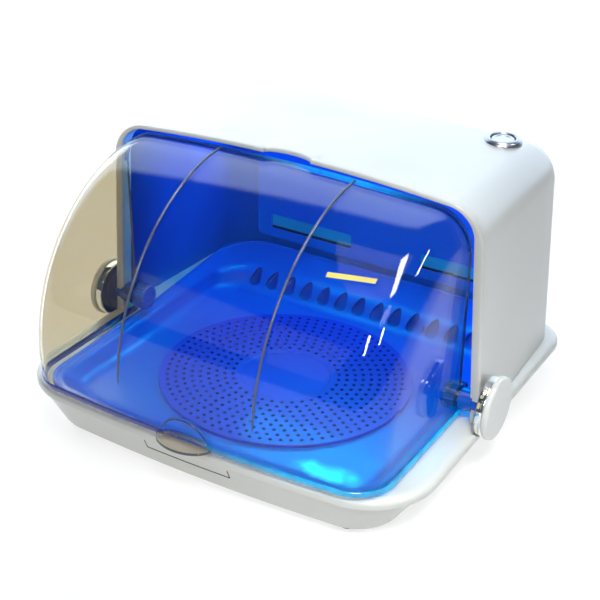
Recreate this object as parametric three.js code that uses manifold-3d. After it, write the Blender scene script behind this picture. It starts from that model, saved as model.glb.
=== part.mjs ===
// Ultraviolet sanitizer cabinet: a white hood on a shallow base, with a tinted visor that swings up
// into the hood, a tray with a perforated plate, a lamp high at the back and a push button on top.
// Millimetres, +Z up, front towards -Y. The origin is on the surface it stands on, under the middle.
import * as THREE from 'three';
import { mergeVertices } from 'three/addons/utils/BufferGeometryUtils.js';
import Module from 'manifold-3d';

const wasm = await Module();
wasm.setup();

// Driving dimensions of the hood
const hoodWidth = 370;
const hoodDepth = 200;
const hoodHeight = 192;
const hoodWall = 3.2;
const roofWall = 2.8;
const rimWall = 8.5;
const rimDepth = 12;
const roofRim = 3.2;
const roofCrown = 7;
const rearCrown = 2;
const roofFall = 8;
const sideLean = 9.5;
const rearNarrowing = 10;
const frontLean = 8;
const hoodCorner = 34;
const hoodRearRound = 34;
const rimRound = 2.4;
const notchHalfWidth = 22;
const notchDepth = 7;

// Driving dimensions of the base, its plate and its feet
const lipOverhang = 3;
const baseFrontSetback = 4;
const rearLedge = 6;
const frontCorner = 60;
const rearCorner = 38;
const frontBow = 5;
const shelfInset = 10;
const lipCrest = 4;
const lipHeight = 9;
const lipStep = 5;
const baseHeight = 43;
const baseWall = 3;
const skirtDraft = 20;
const frontDraft = 14;
const rearDraft = 4;
const skirtFoot = 6;
const skirtRound = 6;
const footHeight = 6;
const footRadius = 7.5;
const footStem = 3;
const footSideInset = 60;
const footFrontInset = 38;
const footRearInset = 48;
const plateThickness = 2.5;
const bossRadius = 4.5;
const bossFrontSide = 92;
const bossFrontInset = 30;
const bossFrontTop = 21;
const bossRearSide = 42;
const bossRearInset = 28;
const bossRib = 3;
const wireHoleRadius = 5;

// Driving dimensions of the tray and the drain plate
const trayFrontInset = 3.5;
const trayRearInset = 18;
const traySideFront = 5.5;
const traySideRear = 20.5;
const trayFrontCorner = 34;
const trayRearCorner = 42;
const trayFloorDepth = 16;
const trayWall = 2.5;
const rimRise = 2.6;
const rearRise = 10;
const riseStart = 22;
const rimBand = 4;
const rimEdge = 1;
const shoulderInset = 7;
const stepDepth = 33;
const slopeRun = 18;
const wallRunFront = 23.5;
const wallRunSideFront = 16.5;
const wallRunSideRear = 14.5;
const fluteCount = 13;
const flutePitch = 19.5;
const fluteHalfWidth = 6;
const fluteHalfLength = 11;
const fluteDepth = 1.5;
const drainMargin = 31;
const drainThickness = 3;
const drainPlain = 40;
const drainRings = 4;
const drainHoleRadius = 1.9;
const drainHolePitch = 23;
const drainEdge = 1;

// Driving dimensions of the visor and its scoop
const visorCentreY = 1;
const visorCentreZ = 34;
const visorSideRoom = 20;
const visorCorner = 30;
const visorCrown = 5;
const visorWall = 2.5;
const visorBottom = 3;
const visorBack = 4;
const visorTopLead = 5;
const beadHeight = 5;
const beadReach = 1.2;
const ribPlace = 63;
const ribWidth = 1.6;
const ribHeight = 0.9;
const lipHalfSpan = 26;
const lipRoot = 4;
const lipReach = 18;
const lipThickness = 3;
const dentHalfWidth = 20;
const dentDepth = 6;
const dentHeight = 17;

// Driving dimensions of the hinge
const pivotY = 6;
const pivotZ = 18;
const earRadius = 13;
const pinRadius = 5;
const nutRadius = 12;
const nutLength = 12;
const bushRadius = 9.6;
const sleeveRadius = 8;
const sleeveLength = 6;
const hubClearance = 0.6;
const hubRadius = 25.5;
const hubNeck = 23;
const hubStep = 3;
const hubWidth = 7.4;
const knobRadius = 27;
const knobThickness = 6;
const knobRound = 1.6;
const saddleWall = 3;
const magnetRadius = 4;
const magnetThickness = 3;
const magnetDrop = 17;
const reedSize = [9, 20, 8];

// Driving dimensions of the lamp group
const lampEndRoom = 41;
const lampRadius = 8;
const lampSetback = 32;
const lampDrop = 54;
const lampCapLength = 9;
const lampCapRadius = 8.6;
const holderWidth = 12;
const holderMouth = 1.2;
const troughRadius = 17;
const troughSheet = 1;
const troughEndRoom = 36;
const troughFlange = 12;
const troughFlangeRoom = 52;

// Driving dimensions of the back panel and the rear cover
const ductDepth = 11;
const panelThickness = 2;
const panelEndRoom = 39;
const panelBottom = 16;
const slotHalfGap = 38;
const slotEndRoom = 16;
const slotHeight = 15;
const slotSill = 26;
const coverSideInset = 15;
const coverDrop = 71;
const coverHeight = 69;
const coverThickness = 2.4;
const coverEdge = 9;
const louvreCount = 5;
const louvreHeight = 3.6;
const louvreEndRoom = 39;
const louvreHalfBar = 6;

// Driving dimensions of the push button and its switch
const buttonSideInset = 63;
const buttonSetback = 48;
const buttonPad = 21;
const padDepth = 8;
const spotDepth = 1.2;
const bezelRadius = 16.8;
const bezelHeight = 5;
const bezelStep = 2.2;
const bezelLand = 2.2;
const buttonRadius = 10.5;
const buttonTravel = 2.5;
const buttonSink = 1;
const buttonLength = 9;
const neckWall = 1.6;
const neckLength = 13;
const stemRadius = 3;
const stemLength = 4;
const switchLength = 13;

// Driving dimensions of the parts in the rear of the base
const ballastSize = [120, 36, 18];
const terminalSize = [44, 18, 12];
const terminalGap = 10;
const electricsInset = 39;
const inletInset = 76;
const inletDrop = 24;
const inletSize = [26, 24, 16];
const inletFlange = [34, 2, 22];
const inletMouth = [18, 8.6];
const inletMouthDepth = 13;
const contactRadius = 1.2;
const contactSpan = 8.6;
const contactLength = 9;
const screwHead = 3.6;
const screwHeadHeight = 2;
const screwShank = 1.7;
const plateScrew = 13;
const coverScrew = 14;

// Clearances
const gap = 0.3;
const running = 0.35;
const hubGap = 1;
const overrun = 20;

// Places worked out from the dimensions: depths and heights from the hood's foot line
const visorRadius = hoodHeight - visorCentreZ;
const visorHalfWidth = hoodWidth / 2 - visorSideRoom;
const bushLength = visorSideRoom - rimWall;
const hubStart = hoodWidth / 2 + hubClearance;
const lipHalfWidth = hoodWidth / 2 + lipOverhang;
const baseFront = visorRadius - visorCentreY - baseFrontSetback;
const baseRear = hoodDepth + rearLedge;
const footHalfSpan = lipHalfWidth - footSideInset;
const footFront = baseFront - footFrontInset;
const footRear = baseRear - footRearInset;
const bossFrontX = lipHalfWidth - bossFrontSide;
const bossFrontY = baseFront - bossFrontInset;
const bossRearX = lipHalfWidth - bossRearSide;
const bossRearY = baseRear - bossRearInset;
const trayFront = baseFront - trayFrontInset;
const trayRear = hoodDepth - trayRearInset;
const trayHalfFront = visorHalfWidth - traySideFront;
const trayHalfRear = hoodWidth / 2 - traySideRear;
const slopeTop = trayRear - stepDepth;
const floorRear = slopeTop - slopeRun;
const floorFront = trayFront - wallRunFront;
const floorHalfFront = trayHalfFront - wallRunSideFront;
const floorHalfRear = trayHalfRear - wallRunSideRear;
const drainRadius = floorHalfFront - drainMargin;
const drainCentre = (floorRear - floorFront) / 2;
const lampLength = hoodWidth - 2 * lampEndRoom;
const lampY = hoodDepth - lampSetback;
const lampZ = hoodHeight - lampDrop;
const troughHalfLength = hoodWidth / 2 - troughEndRoom;
const troughFlangeHalf = hoodWidth / 2 - troughFlangeRoom;
const panelY = hoodDepth - ductDepth;
const panelHalfWidth = hoodWidth / 2 - panelEndRoom;
const slotWidth = panelHalfWidth - slotHalfGap - slotEndRoom;
const coverHalfWidth = panelHalfWidth - coverSideInset;
const coverTop = hoodHeight - coverDrop;
const coverBottom = coverTop - coverHeight;
const panelTop = coverTop - panelThickness;
const louvreHalfWidth = coverHalfWidth - louvreEndRoom;
const buttonX = hoodWidth / 2 - buttonSideInset;
const buttonY = hoodDepth - buttonSetback;
const terminalX = (ballastSize[0] + terminalSize[0]) / 2 + terminalGap;
const electricsY = baseRear - electricsInset;
const inletX = inletInset - lipHalfWidth;
const handleReach = visorRadius - visorCentreY - lipRoot + lipReach;
const frontPlane = (handleReach - baseRear) / 2;
const shelfHeight = baseHeight + footHeight;
const plateTop = plateThickness - baseHeight;

// Facet counts
const cornerSteps = 5;
const crownSteps = 6;
const bowSteps = 6;
const sideSteps = 4;
const arcSteps = 16;
const roundSteps = 24;
const smallSteps = 12;

// Mesh helpers
function loft(rings) {
  const count = rings[0].length;
  const positions = rings.flat(2);
  const faces = [];
  for (let ring = 0; ring + 1 < rings.length; ring += 1) {
    for (let i = 0; i < count; i += 1) {
      const a = ring * count + i;
      const b = ring * count + (i + 1) % count;
      faces.push(a, b, b + count, a, b + count, a + count);
    }
  }
  const last = (rings.length - 1) * count;
  for (let i = 1; i + 1 < count; i += 1) {
    faces.push(0, i + 1, i, last, last + i, last + i + 1);
  }
  const geometry = new THREE.BufferGeometry();
  geometry.setAttribute('position', new THREE.Float32BufferAttribute(positions, 3));
  geometry.setIndex(faces);
  return signedVolume(geometry) < 0 ? flipped(geometry) : geometry;
}

function signedVolume(geometry) {
  const position = geometry.getAttribute('position');
  const index = geometry.getIndex();
  const [a, b, c] = [new THREE.Vector3(), new THREE.Vector3(), new THREE.Vector3()];
  let volume = 0;
  for (let i = 0; i < index.count; i += 3) {
    a.fromBufferAttribute(position, index.getX(i));
    b.fromBufferAttribute(position, index.getX(i + 1));
    c.fromBufferAttribute(position, index.getX(i + 2));
    volume += a.dot(b.cross(c)) / 6;
  }
  return volume;
}

function flipped(geometry) {
  const index = Array.from(geometry.getIndex().array);
  for (let i = 0; i < index.length; i += 3) {
    [index[i], index[i + 1]] = [index[i + 1], index[i]];
  }
  geometry.setIndex(index);
  return geometry;
}

function solidOf(geometry) {
  const bare = geometry.clone();
  bare.deleteAttribute('normal');
  bare.deleteAttribute('uv');
  const welded = mergeVertices(bare);
  return new wasm.Manifold(new wasm.Mesh({
    numProp: 3,
    vertProperties: new Float32Array(welded.getAttribute('position').array),
    triVerts: new Uint32Array(welded.getIndex().array),
  }));
}

function geometryOf(solid) {
  const mesh = solid.getMesh();
  const geometry = new THREE.BufferGeometry();
  geometry.setAttribute('position', new THREE.Float32BufferAttribute(mesh.vertProperties, 3));
  geometry.setIndex(Array.from(mesh.triVerts));
  return geometry;
}

function cut(body, ...tools) {
  return geometryOf(tools.reduce((rest, tool) => rest.subtract(solidOf(tool)), solidOf(body)));
}

function join(body, ...parts) {
  return geometryOf(parts.reduce((sum, part) => sum.add(solidOf(part)), solidOf(body)));
}

function common(body, other) {
  return geometryOf(solidOf(body).intersect(solidOf(other)));
}

function box(xs, ys, zs) {
  const geometry = new THREE.BoxGeometry(xs[1] - xs[0], ys[1] - ys[0], zs[1] - zs[0]);
  return geometry.translate((xs[0] + xs[1]) / 2, (ys[0] + ys[1]) / 2, (zs[0] + zs[1]) / 2);
}

// A turned solid about +Z from its half profile, listed as [radius, height] from axis to axis
function turned(profile, steps = roundSteps) {
  const points = profile.map(([radius, height]) => new THREE.Vector2(radius, height));
  return new THREE.LatheGeometry(points, steps).rotateX(Math.PI / 2);
}

function rod(radius, low, high, steps = roundSteps) {
  return turned([[0, low], [radius, low], [radius, high], [0, high]], steps);
}

const alongX = (geometry) => geometry.rotateY(Math.PI / 2);
const alongRear = (geometry) => geometry.rotateX(-Math.PI / 2);
const along = (low, high, share) => low + (high - low) * share;
const quarter = Math.PI / 2;

// Turns a body about +Z onto the hinge line, on the right or the left side
function atPivot(body, side) {
  return body.rotateY(side * quarter).translate(0, pivotY, pivotZ);
}

// Extrudes a closed outline of [y, z] points from one x to another
function prism(points, low, high) {
  return loft([low, high].map((x) => points.map(([y, z]) => [x, y, z])));
}

function ellipsoid(centre, radii, across = smallSteps, up = smallSteps) {
  return new THREE.SphereGeometry(1, across, up).scale(...radii).translate(...centre);
}

// A rounded outline, front half width and rear half width apart, its front bowed outwards
function outline(front, rear, halfFront, halfRear, frontRadius, rearRadius, bow, height) {
  const points = [];
  const arc = (x, y, radius, start) => {
    for (let i = 0; i <= cornerSteps; i += 1) {
      const angle = start + quarter * i / cornerSteps;
      points.push([x + radius * Math.cos(angle), y + radius * Math.sin(angle)]);
    }
  };
  const reach = halfFront - frontRadius;
  for (let i = 1; i < bowSteps; i += 1) {
    const share = 2 * i / bowSteps - 1;
    points.push([reach * share, front + bow * share ** 2]);
  }
  const frontTurn = front + bow + frontRadius;
  const rearTurn = rear - rearRadius;
  const side = (sign, from, to) => {
    for (let i = 1; i < sideSteps; i += 1) {
      const share = along(from, to, i / sideSteps);
      points.push([sign * along(halfFront, halfRear, share), along(frontTurn, rearTurn, share)]);
    }
  };
  arc(reach, frontTurn, frontRadius, -quarter);
  side(1, 0, 1);
  arc(halfRear - rearRadius, rearTurn, rearRadius, 0);
  arc(rearRadius - halfRear, rearTurn, rearRadius, quarter);
  side(-1, 1, 0);
  arc(-reach, frontTurn, frontRadius, 2 * quarter);
  const heightOf = typeof height === 'function' ? height : () => height;
  return points.map(([x, y]) => [x, y, heightOf(y)]);
}

// Hood: sections from the right foot over the roof to the left foot
function roofHeight(x, depth, inset) {
  const share = Math.min(Math.max(depth / hoodDepth, 0), 1);
  const flat = hoodWidth / 2 - sideLean - rearNarrowing * share - hoodCorner;
  const crown = along(roofCrown, rearCrown, share) * (1 - Math.min(Math.abs(x) / flat, 1) ** 2);
  return hoodHeight - roofFall * share - inset + crown;
}

function hoodRing(depth, inset, sideWall, topWall, foot) {
  const share = Math.min(Math.max(depth / hoodDepth, 0), 1);
  const footHalf = hoodWidth / 2 - rearNarrowing * share - inset - sideWall;
  const shoulder = footHalf - sideLean;
  const radius = Math.max(hoodCorner - sideWall - inset / 2, 2 * hoodWall);
  const flat = shoulder - radius;
  const top = hoodHeight - roofFall * share - inset - topWall;
  const crown = along(roofCrown, rearCrown, share);
  const footEnd = footHalf - foot * sideLean / (hoodHeight - hoodCorner);
  const points = [[footEnd, foot]];
  for (let i = 0; i <= cornerSteps; i += 1) {
    const angle = quarter * i / cornerSteps;
    points.push([flat + radius * Math.cos(angle), top - radius + radius * Math.sin(angle)]);
  }
  for (let i = 1; i < crownSteps; i += 1) {
    const side = 1 - 2 * i / crownSteps;
    points.push([flat * side, top + crown * (1 - side ** 2)]);
  }
  for (let i = cornerSteps; i >= 0; i -= 1) {
    const angle = quarter * i / cornerSteps;
    points.push([-flat - radius * Math.cos(angle), top - radius + radius * Math.sin(angle)]);
  }
  points.push([-footEnd, foot]);
  return points.map(([x, z]) => [x, depth - frontLean * (1 - share) * z / hoodHeight, z]);
}

function hoodBody(start, sideWall, topWall, foot, edge) {
  const round = hoodRearRound - sideWall;
  const turn = hoodDepth - sideWall - round;
  const rings = [];
  if (edge > 0) {
    rings.push([start, edge], [start + edge * 0.3, edge * 0.3], [start + edge, 0]);
  } else {
    rings.push([start, 0]);
  }
  for (let i = 1; i < 4; i += 1) {
    rings.push([along(rimDepth, turn, i / 4), 0]);
  }
  for (let i = 0; i < cornerSteps; i += 1) {
    const angle = quarter * i / (cornerSteps - 1);
    rings.push([turn + round * Math.sin(angle), round * (1 - Math.cos(angle))]);
  }
  return loft(rings.map(([depth, inset]) => hoodRing(depth, inset, sideWall, topWall, foot)));
}

const hoodOuter = hoodBody(0, 0, 0, gap, rimRound);
const hoodCavity = hoodBody(rimDepth, hoodWall, roofWall, -overrun, 0);
const rimBore = loft([-overrun, rimDepth + rimRound].map(
  (depth) => hoodRing(depth, 0, rimWall, roofRim, -overrun)));
const notch = rod(notchHalfWidth, hoodHeight - overrun, hoodHeight + overrun, roundSteps)
  .scale(1, notchDepth / notchHalfWidth, 1).translate(0, -frontLean, 0);
const pivotHole = alongX(rod(sleeveRadius + gap, -hoodWidth, hoodWidth))
  .translate(0, pivotY, pivotZ);
const bushEnd = visorHalfWidth + running + bushLength;
const bushSeats = [1, -1].map((side) => atPivot(
  rod(bushRadius + running, visorHalfWidth, bushEnd + gap), side));
const buttonSeat = roofHeight(buttonX, buttonY, 0) - spotDepth;
const neckRadius = buttonRadius + running + neckWall;
const pad = common(hoodOuter, rod(buttonPad, buttonSeat - padDepth, hoodHeight)
  .translate(buttonX, buttonY, 0));
const spotFace = rod(bezelRadius + gap, buttonSeat, buttonSeat + overrun).translate(buttonX, buttonY, 0);
const neckHole = rod(neckRadius + gap, buttonSeat - overrun, buttonSeat + overrun)
  .translate(buttonX, buttonY, 0);

// Screw places on the rear: the same four screws hold the cover and the back panel
const coverScrewX = coverHalfWidth - coverEdge;
const coverScrews = [1, -1].flatMap(
  (side) => [coverBottom + coverEdge, coverTop - coverEdge].map((z) => [side * coverScrewX, z]));
const rearInner = hoodDepth - hoodWall;
const panelBack = panelY + panelThickness;
const rearBosses = coverScrews.map(([x, z]) => alongRear(
  rod(bossRadius, panelBack + gap, rearInner + hoodWall / 2, smallSteps)).translate(x, 0, z));
const coverHoles = (reach) => coverScrews.map(([x, z]) => alongRear(
  rod(screwShank + reach, panelY - overrun, baseRear + overrun, smallSteps)).translate(x, 0, z));
const rearWindow = box(
  [bossRadius + 2 * gap - coverScrewX, coverScrewX - bossRadius - 2 * gap],
  [rearInner - 2 * hoodWall, hoodDepth + overrun],
  [coverBottom + coverEdge / 2, coverTop - coverEdge / 2]);
const hoodShell = cut(
  join(cut(hoodOuter, hoodCavity, rimBore), pad, ...rearBosses),
  notch, pivotHole, ...bushSeats, spotFace, neckHole, rearWindow, ...coverHoles(gap));

// Tray: a deep basin with a shallow step behind it
function rimTop(depth) {
  const share = Math.min(Math.max((depth - riseStart) / (trayRear - riseStart), 0), 1);
  return rimRise + rearRise * share;
}

function rimRing(inset, height) {
  return outline(inset - trayFront, trayRear - inset, trayHalfFront - inset, trayHalfRear - inset,
    trayFrontCorner - inset, trayRearCorner - inset, frontBow, height);
}

function shoulderRing(inset, height) {
  return outline(shoulderInset + inset - trayFront, slopeTop - inset, trayHalfFront - shoulderInset - inset,
    trayHalfRear - 2 * shoulderInset - inset, trayFrontCorner - shoulderInset - inset,
    trayRearCorner - inset, frontBow, height);
}

function floorRing(inset, height) {
  return outline(inset - floorFront, floorRear - inset, floorHalfFront - inset, floorHalfRear - inset,
    trayFrontCorner - shoulderInset - inset, trayRearCorner - shoulderInset - inset, frontBow,
    height);
}

const trayOuter = loft([
  rimRing(rimEdge, rimTop),
  rimRing(0, (y) => rimTop(y) - rimEdge),
  rimRing(0, gap),
  shoulderRing(-trayWall, gap),
  shoulderRing(-trayWall, -trayWall),
  floorRing(-trayWall, -trayFloorDepth),
  floorRing(0, -trayFloorDepth - trayWall),
]);
const trayInner = loft([
  rimRing(rimBand, () => rearRise + overrun),
  rimRing(rimBand, (y) => rimTop(y) - rimEdge),
  shoulderRing(rimEdge, 0),
  floorRing(0, rimEdge - trayFloorDepth),
  floorRing(rimEdge, -trayFloorDepth),
]);
const slopeMid = (slopeTop + floorRear) / 2;
const slopeTilt = Math.atan2(trayFloorDepth, slopeTop - floorRear);
const flutes = Array.from({ length: fluteCount }, (_, i) => ellipsoid(
  [0, 0, 0], [fluteHalfWidth, fluteHalfLength, fluteDepth], smallSteps, smallSteps / 3)
  .rotateX(slopeTilt)
  .translate((i - (fluteCount - 1) / 2) * flutePitch, slopeMid, -trayFloorDepth / 2));
const tray = cut(trayOuter, trayInner, ...flutes);

// Drain plate: a round plate with rings of small holes round a plain middle
function drainHoles() {
  const holes = [];
  const band = drainRadius - drainPlain;
  for (let ring = 0; ring < drainRings; ring += 1) {
    const radius = drainPlain + band * (ring + 0.5) / drainRings;
    const count = Math.round(2 * Math.PI * radius / drainHolePitch);
    for (let i = 0; i < count; i += 1) {
      const angle = 4 * quarter * (i + ring / 2) / count;
      holes.push(rod(drainHoleRadius, -overrun, overrun, cornerSteps)
        .translate(radius * Math.cos(angle), radius * Math.sin(angle), 0));
    }
  }
  return holes;
}

const drainTop = gap + drainThickness;
const drainPlate = cut(turned([
  [0, gap],
  [drainRadius, gap],
  [drainRadius, drainTop - drainEdge],
  [drainRadius - drainEdge, drainTop],
  [drainPlain + drainEdge, drainTop],
  [drainPlain, drainTop - drainEdge / 2],
  [0, drainTop - drainEdge / 2],
], 2 * roundSteps), ...drainHoles());

// Base: a shelf with a rounded lip, a step under it and a tapering skirt
function baseRing(side, front, rear, height) {
  return outline(front - baseFront, baseRear - rear, lipHalfWidth - side, lipHalfWidth - side,
    frontCorner - (side + front) / 2, rearCorner - (side + rear) / 2, frontBow, height);
}

const baseOuter = loft([
  baseRing(shelfInset, shelfInset * 0.8, shelfInset * 0.8, 0),
  baseRing(shelfInset / 2, shelfInset * 0.4, shelfInset * 0.4, -lipCrest * 0.3),
  baseRing(shelfInset / 6, shelfInset / 8, shelfInset / 8, -lipCrest * 0.7),
  baseRing(0, 0, 0, -lipCrest - 1),
  baseRing(0, 0, 0, 1 - lipHeight),
  baseRing(1, 0.3, 1, -lipHeight),
  baseRing(lipStep, lipStep * 0.2, lipStep, -lipHeight - 0.3),
  baseRing(lipStep + skirtDraft, frontDraft, lipStep + rearDraft, skirtRound - baseHeight),
  baseRing(lipStep + skirtDraft + skirtFoot * 0.3, frontDraft + skirtFoot * 0.3,
    lipStep + rearDraft + skirtFoot * 0.3, skirtRound * 0.3 - baseHeight),
  baseRing(lipStep + skirtDraft + skirtFoot, frontDraft + skirtFoot,
    lipStep + rearDraft + skirtFoot, -baseHeight),
]);
const footWallSide = lipStep + skirtDraft + skirtFoot + baseWall;
const footWallFront = frontDraft + skirtFoot + baseWall;
const footWallRear = lipStep + rearDraft + skirtFoot + baseWall;
const baseCavity = loft([
  baseRing(lipStep + baseWall, lipStep + baseWall, lipStep + baseWall, -baseWall),
  baseRing(lipStep + baseWall, baseWall + lipStep * 0.2, lipStep + baseWall, -lipHeight),
  baseRing(lipStep + skirtDraft + baseWall, frontDraft + baseWall, lipStep + rearDraft + baseWall,
    skirtRound - baseHeight),
  baseRing(footWallSide, footWallFront, footWallRear, skirtRound * 0.4 - baseHeight),
  baseRing(footWallSide, footWallFront, footWallRear, -baseHeight - overrun),
]);
const basePlaces = [
  [bossFrontX, -bossFrontY, -bossFrontTop],
  [-bossFrontX, -bossFrontY, -bossFrontTop],
  [bossRearX, bossRearY, -baseWall / 2],
  [-bossRearX, bossRearY, -baseWall / 2],
];
const bosses = basePlaces.map(([x, y, top]) => rod(bossRadius, plateTop + gap, top, smallSteps)
  .translate(x, y, 0));
const ribs = basePlaces.slice(0, 2).map(([x, y, top]) => common(baseOuter, box(
  [x - bossRib / 2, x + bossRib / 2], [-baseFront, y], [plateTop + gap, top])));
const trayWell = loft([
  shoulderRing(-trayWall - gap, overrun),
  shoulderRing(-trayWall - gap, -overrun),
]);
const saddle = (grow) => [1, -1].map((side) => atPivot(turned([
  [0, hubStart - hubGap - grow],
  [hubRadius + hubGap + grow, hubStart - hubGap - grow],
  [hubRadius + hubGap + grow, lipHalfWidth + overrun],
  [0, lipHalfWidth + overrun],
]), side));
const saddlePads = saddle(saddleWall).map((body) => common(baseOuter, body));
const inletY = baseRear - lipStep - rearDraft;
const inletHole = box(
  [inletX - inletSize[0] / 2 - gap, inletX + inletSize[0] / 2 + gap],
  [inletY - overrun, baseRear + overrun],
  [-inletDrop - inletSize[2] / 2 - gap, -inletDrop + inletSize[2] / 2 + gap]);
const inletSeat = box(
  [inletX - inletFlange[0] / 2 - gap, inletX + inletFlange[0] / 2 + gap],
  [inletY, baseRear + overrun],
  [-inletDrop - inletFlange[2] / 2 - gap, -inletDrop + inletFlange[2] / 2 + gap]);
const wireHole = rod(wireHoleRadius, -overrun, overrun, smallSteps)
  .translate(0, (trayRear + hoodDepth - hoodWall) / 2, 0);
const plateScrews = (radius) => basePlaces.map(([x, y]) => rod(
  radius, -baseHeight - overrun, plateTop + plateScrew, smallSteps).translate(x, y, 0));
const baseHousing = cut(
  join(cut(baseOuter, baseCavity), ...bosses, ...ribs, ...saddlePads),
  trayWell, ...saddle(0), inletHole, inletSeat, wireHole, ...plateScrews(screwShank + gap));

// Bottom plate and feet
const feet = [[1, -footFront], [-1, -footFront], [1, footRear], [-1, footRear]]
  .map(([side, y]) => [side * footHalfSpan, y]);
const plateBody = loft([plateTop, -baseHeight].map(
  (z) => baseRing(footWallSide + gap, footWallFront + gap, footWallRear + gap, z)));
const bottomPlate = cut(plateBody, ...plateScrews(screwShank + gap),
  ...feet.map(([x, y]) => rod(footStem + gap, -baseHeight - overrun, 0, smallSteps).translate(x, y, 0)));
const foot = turned([
  [0, -baseHeight - footHeight],
  [footRadius - 1, -baseHeight - footHeight],
  [footRadius, -baseHeight - footHeight + 1],
  [footRadius - 1, -baseHeight - gap],
  [footStem, -baseHeight - gap],
  [footStem, plateTop + 1],
  [0, plateTop + 1],
], smallSteps);

// Visor: a curved front between flat sides, with a bead along its foot, two ribs and a scoop
function visorReach(x, grow) {
  const flat = visorHalfWidth - visorCorner;
  const into = Math.max(Math.abs(x) - flat, 0);
  const corner = visorCorner + grow;
  const drop = corner - Math.sqrt(Math.max(corner ** 2 - into ** 2, 0));
  return visorRadius + grow - visorCrown * (x / flat) ** 2 - drop;
}

const arcLow = -quarter * 0.24;
const arcHigh = quarter * 1.06;

function visorBody(grow) {
  const flat = visorHalfWidth - visorCorner;
  const corner = visorCorner + grow;
  const xs = [];
  for (let i = 0; i <= cornerSteps; i += 1) {
    xs.push(-flat - corner * Math.cos(quarter * i / cornerSteps));
  }
  for (let i = 1; i < crownSteps; i += 1) {
    xs.push(along(-flat, flat, i / crownSteps));
  }
  for (let i = cornerSteps; i >= 0; i -= 1) {
    xs.push(flat + corner * Math.cos(quarter * i / cornerSteps));
  }
  return loft(xs.map((x) => {
    const radius = visorReach(x, grow);
    const points = [];
    for (let i = 0; i <= arcSteps; i += 1) {
      const angle = along(arcLow, arcHigh, i / arcSteps);
      points.push([x, visorCentreY - radius * Math.cos(angle), visorCentreZ + radius * Math.sin(angle)]);
    }
    points.push([x, points[arcSteps][1], points[0][2]]);
    return points;
  }));
}

const visorTopY = -visorTopLead;
const clipSide = visorHalfWidth + beadReach;
const visorClip = (low, high) => prism([
  [-handleReach, low],
  [visorBack, low],
  [along(visorBack, visorTopY, high / hoodHeight), high],
  [-handleReach, high],
], -clipSide, clipSide);
const visorOuter = visorBody(0);
const visorInner = visorBody(-visorWall);
const visorPane = common(visorOuter, visorClip(visorBottom, hoodHeight + overrun));
const bead = common(visorBody(beadReach), visorClip(visorBottom, visorBottom + beadHeight));
const visorRibs = [1, -1].map((side) => {
  const radius = visorReach(ribPlace, 0);
  const rings = [];
  for (let i = 0; i <= arcSteps; i += 1) {
    const angle = along(0, quarter * 0.99, i / arcSteps);
    rings.push([[-1, -1], [1, -1], [1, 1], [-1, 1]].map(([across, out]) => [
      side * ribPlace + across * ribWidth / 2,
      visorCentreY - (radius + out * ribHeight) * Math.cos(angle),
      visorCentreZ + (radius + out * ribHeight) * Math.sin(angle),
    ]));
  }
  return loft(rings);
});
const ears = [1, -1].map((side) => atPivot(
  rod(earRadius, visorHalfWidth - visorWall, visorHalfWidth), side));
const scoopY = visorCentreY + lipRoot - visorRadius;
const lipPlate = rod(lipHalfSpan, visorBottom, visorBottom + lipThickness)
  .scale(1, lipReach / lipHalfSpan, 1).translate(0, scoopY, 0);
const visorLip = cut(lipPlate, visorBody(beadReach + gap));
const dentZ = visorBottom + lipThickness;
const dentOuter = common(visorOuter, ellipsoid([0, scoopY - visorWall, dentZ],
  [dentHalfWidth + visorWall, dentDepth + visorWall, dentHeight + visorWall], roundSteps, smallSteps));
const dentAbove = box([-lipHalfSpan, lipHalfSpan], [-handleReach - overrun, 0], [dentZ, hoodHeight]);
const dentInner = common(dentAbove, ellipsoid([0, scoopY - visorWall, dentZ],
  [dentHalfWidth, dentDepth, dentHeight], roundSteps, smallSteps));
const dentShell = common(dentOuter, box([-lipHalfSpan, lipHalfSpan], [-handleReach, 0],
  [visorBottom, hoodHeight]));
const pinHole = [1, -1].map((side) => atPivot(
  rod(pinRadius + gap, visorHalfWidth - overrun, visorHalfWidth + overrun), side));
const visor = cut(
  join(cut(join(visorPane, bead, ...visorRibs.map((rib) => common(rib, visorClip(
    visorBottom, hoodHeight + overrun)))), visorInner), ...ears, dentShell),
  dentInner, ...pinHole);

// Hinge: pins through bushings in the hood's sides, with a nut inside and a chrome hub outside
const nutEnd = visorHalfWidth - visorWall - gap;
const hubEnd = hubStart + hubWidth;
const hinge = (side) => ({
  pin: atPivot(rod(pinRadius, nutEnd - nutLength + 1, hubEnd, smallSteps * 2), side),
  nut: atPivot(cut(turned([
    [0, nutEnd - nutLength],
    [nutRadius - 2, nutEnd - nutLength],
    [nutRadius, nutEnd - nutLength + 2],
    [nutRadius, nutEnd],
    [0, nutEnd],
  ]), rod(pinRadius + gap, nutEnd - nutLength + 1 - gap, nutEnd + overrun, smallSteps * 2)), side),
  bushing: atPivot(turned([
    [pinRadius + running, visorHalfWidth + running],
    [bushRadius, visorHalfWidth + running],
    [bushRadius, bushEnd],
    [sleeveRadius, bushEnd],
    [sleeveRadius, bushEnd + sleeveLength],
    [pinRadius + running, bushEnd + sleeveLength],
    [pinRadius + running, visorHalfWidth + running],
  ]), side),
  hub: atPivot(turned([
    [pinRadius + gap, hubStart],
    [hubNeck, hubStart],
    [hubNeck, hubStart + hubStep],
    [hubRadius, hubStart + hubStep],
    [hubRadius, hubEnd],
    [pinRadius + gap, hubEnd],
    [pinRadius + gap, hubStart],
  ], roundSteps * 1.5), side),
  cap: atPivot(turned([
    [0, hubEnd + gap],
    [knobRadius - knobRound / 2, hubEnd + gap],
    [knobRadius, hubEnd + gap + knobRound / 2],
    [knobRadius, hubEnd + gap + knobThickness - knobRound],
    [knobRadius - knobRound, hubEnd + gap + knobThickness],
    [0, hubEnd + gap + knobThickness],
  ], roundSteps * 1.5), side),
});
const rightHinge = hinge(1);
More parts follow.
